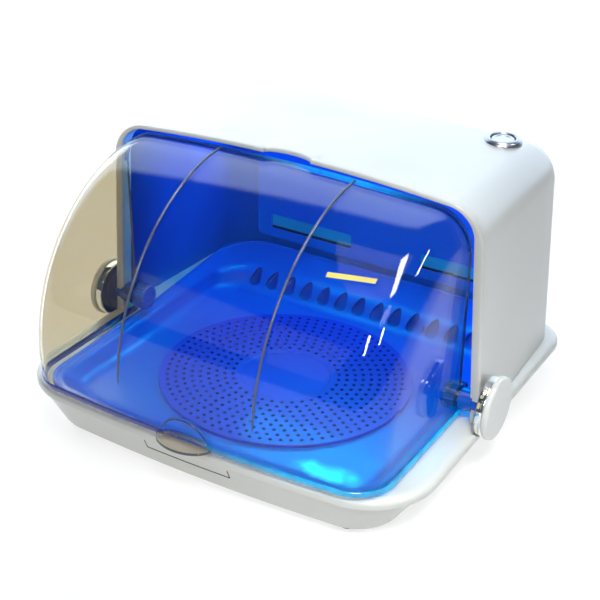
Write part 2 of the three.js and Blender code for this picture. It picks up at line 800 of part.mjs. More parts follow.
const leftHinge = hinge(-1);
const magnetPlace = (radius, low, high) => atPivot(
  rod(radius, low, high, smallSteps).translate(magnetDrop, 0, 0), 1);
const magnet = magnetPlace(magnetRadius, hubStart + gap, hubStart + gap + magnetThickness);
const hubRight = cut(rightHinge.hub, magnetPlace(
  magnetRadius + gap, hubStart - overrun, hubStart + 2 * gap + magnetThickness));
const reedEnd = lipHalfWidth - lipStep - 2 * baseWall;
const reed = box([reedEnd - reedSize[0], reedEnd],
  [pivotY - reedSize[1] / 2, pivotY + reedSize[1] / 2],
  [-baseWall - gap - reedSize[2], -baseWall - gap]);

// Lamp: a straight tube in two holders under a bent reflector
const sided = (side, low, high) => (side > 0 ? [low, high] : [-high, -low]);
const atLamp = (body) => alongX(body).translate(0, lampY, lampZ);
const glassHalf = lampLength / 2 - lampCapLength;
const lampTube = atLamp(rod(lampRadius, -glassHalf, glassHalf, smallSteps * 2));
const lampCap = (side) => atLamp(rod(
  lampCapRadius, ...sided(side, glassHalf + gap, lampLength / 2), smallSteps * 2));
const holderSize = Math.SQRT2 * (troughRadius - 2 * gap);
const holder = (side) => cut(
  box(sided(side, lampLength / 2 - lampCapLength / 2, lampLength / 2 + holderWidth),
    [lampY - holderSize / 2, lampY + holderSize / 2],
    [lampZ - holderSize / 2, lampZ + holderSize / 2]),
  atLamp(rod(lampCapRadius + gap, ...sided(side, 0, lampLength / 2 + gap), smallSteps * 2)),
  box(sided(side, 0, lampLength / 2 + gap),
    [lampY - holderSize, lampY - lampCapRadius + holderMouth],
    [lampZ - lampCapRadius, lampZ + lampCapRadius]));

// The reflector's sheet follows an arc behind the tube, then runs back and turns up at the hood
function trough() {
  const low = -quarter * 0.62;
  const high = quarter * 1.1;
  const path = [];
  for (let i = 0; i <= smallSteps; i += 1) {
    const angle = along(high, low, i / smallSteps);
    const reach = (radius) => [lampY + radius * Math.cos(angle), lampZ + radius * Math.sin(angle)];
    path.push([troughHalfLength, reach(troughRadius), reach(troughRadius + troughSheet)]);
  }
  const [, [, floor]] = path[smallSteps];
  const back = rearInner - 2 * gap;
  path.push([troughFlangeHalf, [back, floor], [back - troughSheet, floor + troughSheet]]);
  path.push([troughFlangeHalf, [back, floor + troughFlange], [back - troughSheet, floor + troughFlange]]);
  return loft(path.map(([half, inside, outside]) => [
    [-half, ...inside], [half, ...inside], [half, ...outside], [-half, ...outside]]));
}

const reflector = trough();

// Back panel with its two slots, and the rear cover with its louvres
const slots = [1, -1].map((side) => box(
  sided(side, slotHalfGap, slotHalfGap + slotWidth),
  [panelY - overrun, panelBack + overrun], [slotSill, slotSill + slotHeight]));
const backPanel = cut(
  box([-panelHalfWidth, panelHalfWidth], [panelY, panelBack], [panelBottom, panelTop]),
  ...slots, ...coverHoles(gap));
const louvrePitch = (coverTop - coverBottom - 2 * coverEdge) / louvreCount;
const louvres = Array.from({ length: 2 * louvreCount }, (_, i) => {
  const low = coverBottom + coverEdge + louvrePitch * (Math.floor(i / 2) + 0.5) - louvreHeight / 2;
  return box(sided(i % 2 ? 1 : -1, louvreHalfBar, louvreHalfWidth),
    [hoodDepth - overrun, baseRear + overrun], [low, low + louvreHeight]);
});
const rearCover = cut(
  box([-coverHalfWidth, coverHalfWidth], [hoodDepth + gap, hoodDepth + gap + coverThickness],
    [coverBottom, coverTop]),
  ...louvres, ...coverHoles(gap));

// A pan-head screw about +Z: its head below zero, its shank above
const screw = (length) => turned([
  [0, -screwHeadHeight],
  [screwHead * 0.6, -screwHeadHeight],
  [screwHead, -screwHeadHeight * 0.4],
  [screwHead, 0],
  [screwShank, 0],
  [screwShank, length - screwShank],
  [0, length],
], smallSteps);
const coverScrewBody = screw(coverScrew).rotateX(quarter);
const plateScrewBody = screw(plateScrew);

// Push button: a chrome bezel whose neck passes the roof, the button in it, the switch below
const bezelBase = buttonSeat + gap;
const bezelTop = bezelBase + bezelHeight;
const boreRadius = buttonRadius + running;
const neckEnd = bezelBase - neckLength;
const bezel = turned([
  [boreRadius, neckEnd],
  [neckRadius, neckEnd],
  [neckRadius, bezelBase],
  [bezelRadius, bezelBase],
  [bezelRadius, bezelBase + bezelStep],
  [bezelRadius - bezelLand, bezelBase + bezelStep + bezelLand / 2],
  [bezelRadius - bezelLand, bezelTop - bezelLand / 2],
  [bezelRadius - bezelLand * 1.4, bezelTop],
  [boreRadius, bezelTop],
  [boreRadius, neckEnd],
], roundSteps);
const buttonTop = bezelTop - buttonSink;
const button = turned([
  [0, buttonTop - buttonLength - stemLength],
  [stemRadius, buttonTop - buttonLength - stemLength],
  [stemRadius, buttonTop - buttonLength],
  [buttonRadius, buttonTop - buttonLength],
  [buttonRadius, buttonTop - 1],
  [buttonRadius - 1, buttonTop],
  [0, buttonTop - 0.5],
], roundSteps);
const switchTop = buttonTop - buttonLength - stemLength - buttonTravel - gap;
const switchBody = box([-neckRadius, neckRadius], [-neckRadius, neckRadius],
  [neckEnd - gap - switchLength, neckEnd - gap]);
const switchWell = rod(stemRadius + 1, switchTop, neckEnd + overrun, smallSteps);
const powerSwitch = cut(switchBody, switchWell);

// Parts in the rear of the base
const upright = (size, x, y, low) => box(
  [x - size[0] / 2, x + size[0] / 2], [y - size[1] / 2, y + size[1] / 2], [low, low + size[2]]);
const ballast = upright(ballastSize, 0, electricsY, plateTop + gap);
const terminals = upright(terminalSize, terminalX, electricsY, plateTop + gap);
const inletMouthBody = box(
  [inletX - inletMouth[0] / 2, inletX + inletMouth[0] / 2],
  [inletY + inletFlange[1] - inletMouthDepth, baseRear + overrun],
  [-inletDrop - inletMouth[1] / 2, -inletDrop + inletMouth[1] / 2]);
const inletBody = cut(join(
  box([inletX - inletSize[0] / 2, inletX + inletSize[0] / 2],
    [inletY + gap - inletSize[1], inletY + gap + inletFlange[1] / 2],
    [-inletDrop - inletSize[2] / 2, -inletDrop + inletSize[2] / 2]),
  box([inletX - inletFlange[0] / 2, inletX + inletFlange[0] / 2],
    [inletY + gap, inletY + inletFlange[1]],
    [-inletDrop - inletFlange[2] / 2, -inletDrop + inletFlange[2] / 2])), inletMouthBody);
const contact = (side) => alongRear(rod(contactRadius, -1, contactLength, smallSteps)).translate(
  inletX + side * contactSpan / 2, inletY + inletFlange[1] - inletMouthDepth, -inletDrop);
const powerInlet = join(inletBody, contact(1), contact(-1));

// Finishes
const finishes = {
  hoodWhite: [0xf4f4f0, 0.25, 0],
  baseWhite: [0xefefe9, 0.35, 0],
  trayBlue: [0x5f9df0, 0.3, 0],
  panelBlue: [0x3f7fe0, 0.35, 0],
  tint: [0x9c8f5f, 0.08, 0],
  chrome: [0xd4d6d8, 0.08, 1],
  sheet: [0xc6cacd, 0.25, 1],
  steel: [0xaeb1b3, 0.4, 1],
  glass: [0xdfeaff, 0.05, 0],
  holderWhite: [0xe4e4e2, 0.5, 0],
  rubber: [0x202020, 0.85, 0],
  darkPlastic: [0x2a2a2c, 0.5, 0],
  plateGrey: [0xb9b9b4, 0.5, 0],
};

const sanitizer = new THREE.Group();
sanitizer.name = 'uv_sanitizer';
const cabinet = new THREE.Group();
cabinet.name = 'cabinet';
cabinet.position.set(0, frontPlane, shelfHeight);
sanitizer.add(cabinet);

function place(name, geometry, finish, position = [0, 0, 0]) {
  const [color, roughness, metalness] = finishes[finish];
  const mesh = new THREE.Mesh(geometry, new THREE.MeshStandardMaterial({ color, roughness, metalness }));
  mesh.name = name;
  mesh.position.set(...position);
  cabinet.add(mesh);
}

place('base_housing', baseHousing, 'baseWhite');
place('bottom_plate', bottomPlate, 'plateGrey');
const footNames = ['foot_front_right', 'foot_front_left', 'foot_rear_right', 'foot_rear_left'];
feet.forEach(([x, y], i) => place(footNames[i], foot, 'rubber', [x, y, 0]));
const screwNames = ['plate_screw_front_right', 'plate_screw_front_left', 'plate_screw_rear_right',
  'plate_screw_rear_left'];
basePlaces.forEach(([x, y], i) => place(
  screwNames[i], plateScrewBody, 'steel', [x, y, -baseHeight - gap]));
place('tray', tray, 'trayBlue');
place('drain_plate', drainPlate, 'trayBlue', [0, drainCentre, -trayFloorDepth]);
place('hood_shell', hoodShell, 'hoodWhite');
place('back_panel', backPanel, 'panelBlue');
place('rear_cover', rearCover, 'plateGrey');
const coverScrewNames = ['cover_screw_low_right', 'cover_screw_high_right', 'cover_screw_low_left',
  'cover_screw_high_left'];
coverScrews.forEach(([x, z], i) => place(
  coverScrewNames[i], coverScrewBody, 'steel', [x, hoodDepth + 2 * gap + coverThickness, z]));
place('reflector', reflector, 'sheet');
place('lamp_tube', lampTube, 'glass');
place('lamp_cap_right', lampCap(1), 'sheet');
place('lamp_cap_left', lampCap(-1), 'sheet');
place('lamp_holder_right', holder(1), 'holderWhite');
place('lamp_holder_left', holder(-1), 'holderWhite');
place('visor', visor, 'tint');
place('visor_lip', visorLip, 'tint');
place('pivot_pin_right', rightHinge.pin, 'steel');
place('pivot_pin_left', leftHinge.pin, 'steel');
place('pivot_nut_right', rightHinge.nut, 'tint');
place('pivot_nut_left', leftHinge.nut, 'tint');
place('bushing_right', rightHinge.bushing, 'holderWhite');
place('bushing_left', leftHinge.bushing, 'holderWhite');
place('hub_right', hubRight, 'chrome');
place('hub_left', leftHinge.hub, 'chrome');
place('knob_cap_right', rightHinge.cap, 'hoodWhite');
place('knob_cap_left', leftHinge.cap, 'hoodWhite');
place('interlock_magnet', magnet, 'darkPlastic');
place('interlock_switch', reed, 'darkPlastic');
place('power_bezel', bezel, 'chrome', [buttonX, buttonY, 0]);
place('power_button', button, 'sheet', [buttonX, buttonY, 0]);
place('power_switch', powerSwitch, 'darkPlastic', [buttonX, buttonY, 0]);
place('ballast', ballast, 'holderWhite');
place('terminal_block', terminals, 'holderWhite');
place('power_inlet', powerInlet, 'darkPlastic');

export default sanitizer;
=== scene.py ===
# %% [markdown]
# # Ultraviolet sanitizer cabinet
#
# A white hood stands on a shallow base. A tinted visor closes its front and swings up into it on
# two chrome hubs. Inside, a blue tray carries a round perforated plate under a lamp at the back.
#
# This lesson dresses the plain solids of that cabinet with the shapes and finishes that a close
# look needs. Nearly every piece is made at its solid's place, rides on the same moving body and is
# shown instead of the solid, so the visor, the button and the plate can still move. The finished
# meshes are in metres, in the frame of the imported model.

# %% Frame
import math
import bmesh
import bpy
from mathutils import Matrix, Vector
from mathutils.geometry import delaunay_2d_cdt


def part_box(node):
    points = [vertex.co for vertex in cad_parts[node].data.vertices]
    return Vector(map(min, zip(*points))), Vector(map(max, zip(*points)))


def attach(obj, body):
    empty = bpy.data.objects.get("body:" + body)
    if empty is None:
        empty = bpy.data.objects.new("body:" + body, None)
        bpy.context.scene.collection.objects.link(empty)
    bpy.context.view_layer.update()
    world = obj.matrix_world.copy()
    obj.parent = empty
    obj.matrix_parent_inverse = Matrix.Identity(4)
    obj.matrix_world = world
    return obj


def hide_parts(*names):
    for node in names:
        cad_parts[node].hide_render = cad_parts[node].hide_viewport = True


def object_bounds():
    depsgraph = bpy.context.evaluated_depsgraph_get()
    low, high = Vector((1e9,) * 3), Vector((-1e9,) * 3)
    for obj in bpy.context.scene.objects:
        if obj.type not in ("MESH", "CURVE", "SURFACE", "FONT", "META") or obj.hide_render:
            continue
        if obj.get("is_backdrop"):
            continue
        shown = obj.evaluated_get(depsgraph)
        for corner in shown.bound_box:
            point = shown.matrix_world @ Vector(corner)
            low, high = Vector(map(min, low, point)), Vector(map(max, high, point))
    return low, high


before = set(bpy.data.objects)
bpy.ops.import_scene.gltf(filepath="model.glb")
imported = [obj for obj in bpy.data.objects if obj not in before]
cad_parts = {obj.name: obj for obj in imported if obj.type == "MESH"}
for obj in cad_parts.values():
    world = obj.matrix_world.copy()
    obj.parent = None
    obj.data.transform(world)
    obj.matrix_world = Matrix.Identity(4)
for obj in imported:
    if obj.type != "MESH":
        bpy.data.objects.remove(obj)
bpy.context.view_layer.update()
print("nodes in the frame:", len(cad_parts))

# %% [markdown]
# ## Sizes
#
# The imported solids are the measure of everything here. Their boxes could be read for every size,
# but a box says nothing of a wall, a lean or a corner's radius. So the driving sizes are repeated
# in millimetres, as on a drawing, and boxes are read only where a piece has to sit on a solid.
#
# The cabinet's own zero is where the hood's front plane meets the base's top face. `place` turns a
# point of the cabinet into the frame's metres, so no other line needs to know where the frame's
# zero lies.

# %% Sizes and places
MM = 0.001
HOOD_WIDTH, HOOD_DEPTH, HOOD_HEIGHT = 370, 200, 192
HOOD_WALL, ROOF_WALL, RIM_WALL, ROOF_RIM, RIM_DEPTH = 3.2, 2.8, 8.5, 3.2, 12
CROWN_FRONT, CROWN_REAR, ROOF_FALL = 6.6, 2, 8
SIDE_LEAN, REAR_NARROWING, FRONT_LEAN = 9.5, 10, 8
HOOD_CORNER, HOOD_REAR_ROUND, RIM_ROUND = 34, 34, 2.4
NOTCH_HALF, NOTCH_DEPTH = 22, 7
REAR_LEDGE = 6
VISOR_Y, VISOR_Z, VISOR_WALL = 1, 34, 2.5
VISOR_RADIUS = HOOD_HEIGHT - VISOR_Z
VISOR_HALF = HOOD_WIDTH / 2 - 20
VISOR_CORNER, VISOR_CROWN = 30, 5
PIVOT_Y, PIVOT_Z = 6, 18
QUARTER = math.pi / 2

_, base_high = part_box("base_housing")
REAR_Y = base_high.y / MM
FRONT_Y = REAR_Y - HOOD_DEPTH - REAR_LEDGE
SHELF_Z = base_high.z / MM


def place(x, y, z):
    """A point of the cabinet, in millimetres, as metres in the frame."""
    return Vector((x * MM, (FRONT_Y + y) * MM, (SHELF_Z + z) * MM))


def along(low, high, share):
    return low + (high - low) * share


def clamp(value, low=0.0, high=1.0):
    return max(low, min(high, value))


print("front plane at", FRONT_Y, "mm, shelf at", SHELF_Z, "mm")

# %% [markdown]
# ## Shader arithmetic
#
# A finish is a formula over the surface: more dust here, a darker tone there. In the node editor
# that formula becomes a web of small Math nodes which is hard to read back. `Shade` wraps one
# output of a node and lets Python's own signs add those nodes, so that a material reads as the
# formula that it is.
#
# Numbers go through Math nodes. Colours never do, because a Math node would turn them grey: `mix`
# blends them instead. `make` adds any other node from its type, its settings and its inputs.

# %% Shader helpers


class Shade:
    def __init__(self, tree, socket):
        self.tree = tree
        self.socket = socket

    def make(self, kind, settings=None, inputs=None, output=0):
        node = self.tree.nodes.new(kind)
        for key, value in (settings or {}).items():
            setattr(node, key, value)
        for key, value in (inputs or {}).items():
            self.feed(node.inputs[key], value)
        return Shade(self.tree, node.outputs[output])

    def feed(self, socket, value):
        if isinstance(value, Shade):
            self.tree.links.new(value.socket, socket)
        else:
            socket.default_value = value

    def math(self, operation, *values):
        return self.make("ShaderNodeMath", {"operation": operation}, dict(enumerate(values)))

    def __add__(self, other):
        return self.math("ADD", self, other)

    def __sub__(self, other):
        return self.math("SUBTRACT", self, other)

    def __rsub__(self, other):
        return self.math("SUBTRACT", other, self)

    def __mul__(self, other):
        return self.math("MULTIPLY", self, other)

    __radd__ = __add__
    __rmul__ = __mul__

    def ramp(self, low, high):
        """0 below low, 1 above high, smooth between."""
        return self.make(
            "ShaderNodeMapRange",
            {"interpolation_type": "SMOOTHSTEP"},
            {"Value": self, "From Min": low, "From Max": high},
        )

    def mix(self, first, second):
        """The first colour where this is 0, the second where it is 1."""
        node = self.tree.nodes.new("ShaderNodeMix")
        node.data_type = "RGBA"
        self.feed(node.inputs["Factor"], self)
        self.feed(node.inputs[6], first)
        self.feed(node.inputs[7], second)
        return Shade(self.tree, node.outputs[2])


def paint(red, green, blue):
    """A colour from the 0 to 255 values seen on a screen."""
    linear = [((c / 255 + 0.055) / 1.055) ** 2.4 if c > 10 else c / 3295 for c in (red, green, blue)]
    return (*linear, 1.0)


print("middle grey of a screen in linear light:", round(paint(128, 128, 128)[0], 3))


def noise(point, scale, detail=2.0, rough=0.5):
    inputs = {"Vector": point, "Scale": scale, "Detail": detail, "Roughness": rough}
    return point.make("ShaderNodeTexNoise", {}, inputs)


def new_material(name):
    """A material, its object-space point and its Principled shader."""
    material = bpy.data.materials.new(name)
    material.use_nodes = True
    tree = material.node_tree
    shader = tree.nodes["Principled BSDF"]
    coordinates = tree.nodes.new("ShaderNodeTexCoord")
    return material, Shade(tree, coordinates.outputs["Object"]), shader


def set_inputs(shader, values):
    for key, value in values.items():
        shader.inputs[key].default_value = value

# %% [markdown]
# ## Skins and pieces
#
# Nearly every moulding on this cabinet is a skin over a row of lines, like a boat's planking over
# its ribs. It could be modelled by hand from a box, but then no size could be changed later.
# `skin` joins rings that have the same number of points.
#
# `piece` turns such a skin into an object. It welds doubled points, turns the faces outwards and
# marks edges over a given angle as sharp, because smooth shading over a hard corner looks like soft
# soap. Last, it makes the object ride on its body and hides the solids that it stands for.

# %% Mesh helpers


def skin(rings, closed_ring=True, closed_row=False, cap_first=False, cap_last=False):
    """Vertices and faces over a row of rings."""
    count = len(rings[0])
    vertices = [point for ring in rings for point in ring]
    faces = []
    rows = len(rings) if closed_row else len(rings) - 1
    steps = count if closed_ring else count - 1
    for row in range(rows):
        below = row * count
        above = (row + 1) % len(rings) * count
        for step in range(steps):
            after = (step + 1) % count
            faces.append((below + step, below + after, above + after, above + step))
    if cap_first:
        faces.append(tuple(range(count)))
    if cap_last:
        faces.append(tuple(range(len(vertices) - count, len(vertices))))
    return vertices, faces


def piece(name, vertices, faces, body, materials, replaces=(), sharp=32, chosen=None, weld=1e-6):
    """An object from a mesh given in metres."""
    mesh = bpy.data.meshes.new(name)
    mesh.from_pydata([tuple(v) for v in vertices], [], [tuple(f) for f in faces])
    for material in materials:
        mesh.materials.append(material)
    if chosen:
        for polygon in mesh.polygons:
            polygon.material_index = chosen(polygon.index, polygon.center)
    made = bpy.data.objects.new(name, mesh)
    bpy.context.scene.collection.objects.link(made)
    tidy(made, sharp, weld)
    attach(made, body)
    if replaces:
        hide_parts(*replaces)
    return made


def tidy(made, sharp=32, weld=1e-6):
    """Welds, turns the faces outwards and marks edges over the sharp angle."""
    work = bmesh.new()
    work.from_mesh(made.data)
    bmesh.ops.remove_doubles(work, verts=work.verts, dist=weld)
    bmesh.ops.dissolve_degenerate(work, edges=work.edges, dist=weld)
    bmesh.ops.recalc_face_normals(work, faces=work.faces)
    for face in work.faces:
        face.smooth = True
    for edge in work.edges:
        edge.smooth = edge.is_manifold and edge.calc_face_angle(0) < math.radians(sharp)
    work.to_mesh(made.data)
    work.free()


box_vertices, box_faces = skin([[(0, 0, z), (1, 0, z), (1, 1, z), (0, 1, z)] for z in (0, 1)], True,
                               cap_first=True, cap_last=True)
print("a box as a skin has", len(box_vertices), "points and", len(box_faces), "faces")

# %% [markdown]
# ## White mouldings
#
# The hood, the base and the caps look like injection-moulded plastic. A plain glossy white would
# look like a drawing, since real mouldings are a little wavy and carry a film of dust that dulls
# them in patches.
#
# Painted image textures could show this, but they would have to be unwrapped and would blur close
# up. Noise in the object's own space needs none of that, fits every shape and moves with its piece.
# The colours are written as they look on a screen under even light, and `paint` turns them into
# linear light.

# %% White mouldings


def white_moulding(name, colour, roughness, gloss):
    """Glossy moulded plastic: slightly wavy, with soft dull patches and a fine grain."""
    material, point, shader = new_material(name)
    patches = noise(point, 9.0, 3.0).ramp(0.35, 0.75)
    dust = noise(point, 260.0, 2.0).ramp(0.62, 0.8)
    warmer = tuple(c * f for c, f in zip(colour[:3], (0.985, 0.975, 0.95))) + (1.0,)
    tone = (patches * 0.5 + dust * 0.25).mix(colour, warmer)
    point.feed(shader.inputs["Base Color"], tone)
    point.feed(shader.inputs["Roughness"], patches * 0.08 + dust * 0.05 + roughness)
    waves = noise(point, 14.0, 1.0) * 0.35 + noise(point, 900.0, 1.0) * 0.012
    bump = point.make("ShaderNodeBump", {}, {"Strength": 0.12, "Distance": 0.001, "Height": waves})
    point.feed(shader.inputs["Normal"], bump)
    set_inputs(shader, {"Coat Weight": gloss, "Coat Roughness": 0.08, "Specular IOR Level": 0.5})
    return material


hood_white = white_moulding("hood_white", paint(228, 228, 223), 0.3, 0.05)
base_white = white_moulding("base_white", paint(225, 226, 220), 0.36, 0.2)
cap_white = white_moulding("cap_white", paint(232, 232, 228), 0.28, 0.4)
print("white mouldings:", hood_white.name, base_white.name, cap_white.name)

# %% [markdown]
# ### Blue inside
#
# The tray, the liner and the perforated plate are made as blue plastic, and the lamp drowns all of
# them in blue light. One real lamp could do that alone, but its light would arrive through many
# bounces, grainy and slow. So the plastic also glows a little itself, in its own colour and
# stronger in patches, and looks lit from within from any side.
#
# The front part of the liner gets less of the lamp's light, so painted shade darkens its blue there.
# Where light gathers in the tray's front corner, two uneven bright spots of painted light lie on the
# plastic.

# %% Blue plastics


def lit_blue(name, colour, deep, glow, roughness=0.3, light_spots=(), painted_falloff=False):
    """Blue plastic in painted lamp light, with painted spots of light and, if asked, painted front shade."""
    material, point, shader = new_material(name)
    clouds = noise(point, 7.0, 2.0).ramp(0.3, 0.7)
    tone = clouds.mix(deep, colour)
    if painted_falloff:
        # Painted shade: the blue darkens towards the front, where less of the lamp's light reaches.
        depth = point.make("ShaderNodeSeparateXYZ", {}, {"Vector": point}, 1)
        tone = depth.ramp((FRONT_Y - 5) * MM, (FRONT_Y + 75) * MM).mix((0.0, 0.012, 0.15, 1.0), tone)
    # Painted light: each spot brightens the plastic towards a bright cyan where the lamp's light gathers.
    for centre, size in light_spots:
        placed = point.make("ShaderNodeMapping", {}, {
            "Vector": point, "Location": tuple(-c / s for c, s in zip(centre, size)),
            "Scale": tuple(1 / s for s in size)})
        far = placed.make("ShaderNodeVectorMath", {"operation": "LENGTH"}, {0: placed}, 1)
        light_spot = (far + noise(point, 70.0, 2.0) * 0.8 - 0.4).ramp(1.3, 0.0)
        tone = (light_spot * light_spot).mix(tone, (0.02, 1.6, 2.0, 1.0))
    point.feed(shader.inputs["Base Color"], tone)
    point.feed(shader.inputs["Emission Color"], tone)
    point.feed(shader.inputs["Roughness"], noise(point, 40.0) * 0.15 + roughness)
    fine = noise(point, 700.0, 1.0)
    bump = point.make("ShaderNodeBump", {}, {"Strength": 0.08, "Distance": 0.0005, "Height": fine})
    point.feed(shader.inputs["Normal"], bump)
    set_inputs(shader, {"Emission Strength": glow, "Coat Weight": 0.2, "Coat Roughness": 0.1})
    return material


# Painted light: two uneven bright spots in the tray's front corner, where the lamp's light gathers.
PAINTED_LIGHT_SPOTS = (
    (place(88, -104, -14), (0.013, 0.011, 0.014)),
    (place(106, -106, -13), (0.036, 0.015, 0.016)),
)
tray_blue = lit_blue("tray_blue", paint(0, 92, 214), paint(0, 74, 200), 0.2, 0.3, PAINTED_LIGHT_SPOTS)
plate_blue = lit_blue("plate_blue", paint(0, 52, 204), paint(0, 42, 190), 0.17, 0.4)
# Painted shade: a darker blue for the walls of the tray's leaf-shaped hollows.
flute_shade_blue = lit_blue("flute_shade_blue", paint(0, 64, 176), paint(0, 44, 146), 0.12, 0.3)
liner_blue = lit_blue("liner_blue", paint(0, 92, 204), paint(0, 64, 174), 0.18, 0.3, (), True)
panel_blue = lit_blue("panel_blue", paint(0, 96, 224), paint(0, 74, 206), 0.36, 0.3)
# Painted shade: a darker blue for the drain plate's hole walls and the tray's floor under the plate.
hole_shade_blue = lit_blue("hole_shade_blue", paint(0, 50, 162), paint(0, 38, 140), 0.12, 0.5)
slot_teal = lit_blue("slot_teal", paint(10, 150, 215), paint(4, 112, 190), 0.4)
print("bright spots on the tray:", len(PAINTED_LIGHT_SPOTS), "materials so far:", len(bpy.data.materials))

# %% [markdown]
# ### Tinted sheet
#
# The visor is a clear sheet with a warm khaki tint. Glass with its usual index would bend what
# stands behind, as a solid block does, while a thin sheet hardly bends it. So the index is close to
# one, and a thin coat over it gives the gloss back. A very weak, slow bump keeps the reflected
# lamps from being ruler-straight.
#
# Acrylic carries light inside itself to its cut edges. `gathered_light` shows this as an edge that
# shines, more at one side of the cabinet than at the other, and least half-way up.

# %% Tinted sheet and its edges


def tinted_sheet(name, colour, coat):
    material, point, shader = new_material(name)
    smudges = noise(point, 22.0, 3.0).ramp(0.45, 0.8)
    point.feed(shader.inputs["Roughness"], smudges * 0.03 + 0.01)
    slow = noise(point, 5.0, 1.0)
    bump = point.make("ShaderNodeBump", {}, {"Strength": 0.012, "Distance": 0.002, "Height": slow})
    point.feed(shader.inputs["Normal"], bump)
    set_inputs(
        shader,
        {
            "Base Color": colour,
            "Transmission Weight": 1.0,
            "IOR": 1.02,
            "Coat Weight": coat,
            "Coat Roughness": 0.02,
            "Coat IOR": 1.45,
        },
    )
    return material


def gathered_light(name, left, right, glow, painted_falloff=False):
    """An acrylic edge that shines with the light inside the sheet, most at its top and foot."""
    material, point, shader = new_material(name)
    across = point.make("ShaderNodeSeparateXYZ", {}, {"Vector": point})
    height = point.make("ShaderNodeSeparateXYZ", {}, {"Vector": point}, 2)
    strands = noise(point, 60.0, 2.0).ramp(0.3, 0.7)
    if painted_falloff:
        bright = across.ramp(-0.05, 0.05) * (1.0 - across.ramp(0.075, 0.135))
    else:
        bright = across.ramp(-0.03, 0.11)
    lively = (strands * 0.35).mix(bright.mix(left, right), left)
    dark = height.ramp(0.056, 0.066) * (1.0 - height.ramp(0.195, 0.21))
    tone = dark.mix(lively, (0.004, 0.012, 0.05, 1.0))
    point.feed(shader.inputs["Base Color"], tone)
    point.feed(shader.inputs["Emission Color"], tone)
    set_inputs(shader, {"Emission Strength": glow, "Roughness": 0.15, "Coat Weight": 0.5})
    return material


visor_tint = tinted_sheet("visor_tint", (0.74, 0.69, 0.54, 1.0), 0.5)
lip_tint = tinted_sheet("lip_tint", (0.82, 0.74, 0.56, 1.0), 1.0)
nut_blue = lit_blue("nut_blue", paint(0, 88, 198), paint(0, 52, 156), 0.18, 0.1)
edge_glow = gathered_light("edge_glow", paint(8, 44, 130), paint(20, 170, 250), 0.5, True)
bead_glow = gathered_light("bead_glow", paint(16, 30, 112), paint(8, 160, 215), 0.5)
# Painted highlight: the glowing sills at the lower edge of the ducts behind the back panel.
sill_glow = gathered_light("sill_glow", paint(20, 150, 220), paint(20, 150, 220), 0.5)
print("edges that shine:", edge_glow.name, bead_glow.name, sill_glow.name)

# %% [markdown]
# ### Metals, rubber and greys
#
# The hubs and the lamp's caps are plated, the screws and pins are bare steel, and the feet are
# rubber. A metal shows mostly what it mirrors, so its finish is all in the roughness: nearly none
# on chrome, and long streaks where a sheet was brushed. `dull` covers everything matt, from rubber
# to a printed line, by an even grain and rubbed patches that are a little lighter.

# %% Metals and dark parts


def metal(name, colour, roughness, brushed):
    """Plated or bare metal, with streaks along X where it is brushed."""
    material, point, shader = new_material(name)
    stretched = point.make(
        "ShaderNodeMapping", {}, {"Vector": point, "Scale": (40.0, 900.0, 900.0)}
    )
    streaks = noise(stretched, 1.0, 2.0)
    film = noise(point, 30.0, 2.0).ramp(0.3, 0.8)
    point.feed(shader.inputs["Roughness"], streaks * brushed + film * 0.04 + roughness)
    darker = tuple(c * 0.9 for c in colour[:3]) + (1.0,)
    point.feed(shader.inputs["Base Color"], film.mix(colour, darker))
    set_inputs(shader, {"Metallic": 1.0})
    return material


def dull(name, colour, roughness, grain, depth):
    """Matt moulded plastic or rubber with an even grain."""
    material, point, shader = new_material(name)
    rub = noise(point, 20.0, 3.0).ramp(0.4, 0.75)
    lighter = tuple(min(1.0, c * 1.25 + 0.004) for c in colour[:3]) + (1.0,)
    point.feed(shader.inputs["Base Color"], rub.mix(colour, lighter))
    point.feed(shader.inputs["Roughness"], rub * 0.1 + roughness)
    height = noise(point, grain, 2.0)
    bump = point.make("ShaderNodeBump", {}, {"Strength": depth, "Distance": 0.0004, "Height": height})
    point.feed(shader.inputs["Normal"], bump)
    return material


chrome = metal("chrome", (0.83, 0.83, 0.82, 1.0), 0.04, 0.0)
button_metal = metal("button_metal", (0.30, 0.30, 0.31, 1.0), 0.3, 0.12)
bezel_metal = metal("bezel_metal", (0.24, 0.24, 0.27, 1.0), 0.3, 0.05)
sheet_metal = metal("sheet_metal", (0.75, 0.77, 0.80, 1.0), 0.2, 0.2)
steel = metal("steel", (0.55, 0.56, 0.57, 1.0), 0.35, 0.2)
rubber = dull("rubber", (0.018, 0.018, 0.019, 1.0), 0.75, 1500.0, 0.4)
dark_plastic = dull("dark_plastic", (0.03, 0.03, 0.033, 1.0), 0.5, 2200.0, 0.25)
grey_plastic = dull("grey_plastic", (0.55, 0.55, 0.53, 1.0), 0.5, 1800.0, 0.25)
pale_plastic = dull("pale_plastic", (0.78, 0.78, 0.77, 1.0), 0.45, 1800.0, 0.2)
ink = dull("ink", (0.03, 0.03, 0.03, 1.0), 0.6, 2500.0, 0.1)
# Painted shade: a dark grey for the lip's clear edge, which looks dark beside its face.
lip_edge_shade = dull("lip_edge_shade", (0.07, 0.08, 0.09, 1.0), 0.25, 900.0, 0.05)
# Painted shade: the visor's clear ribs take a dark grey for the dark line that each shows on the sheet.
rib_shade_grey = dull("rib_shade_grey", (0.09, 0.11, 0.19, 1.0), 0.22, 900.0, 0.05)
strip_yellow = dull("strip_yellow", (0.82, 0.66, 0.12, 1.0), 0.4, 900.0, 0.15)
print("metals, rubber and greys:", len(bpy.data.materials), "materials so far")

# %% [markdown]
# ### Lamp glass
#
# The lamp is taken to be a low-pressure tube: it glows evenly along its middle and less at its
# ends, where the filaments sit. An area light could stand for it, but the tube can be seen when the
# visor is up. So the glass itself glows, and its tone falls off near the caps.

# %% Lamp glass


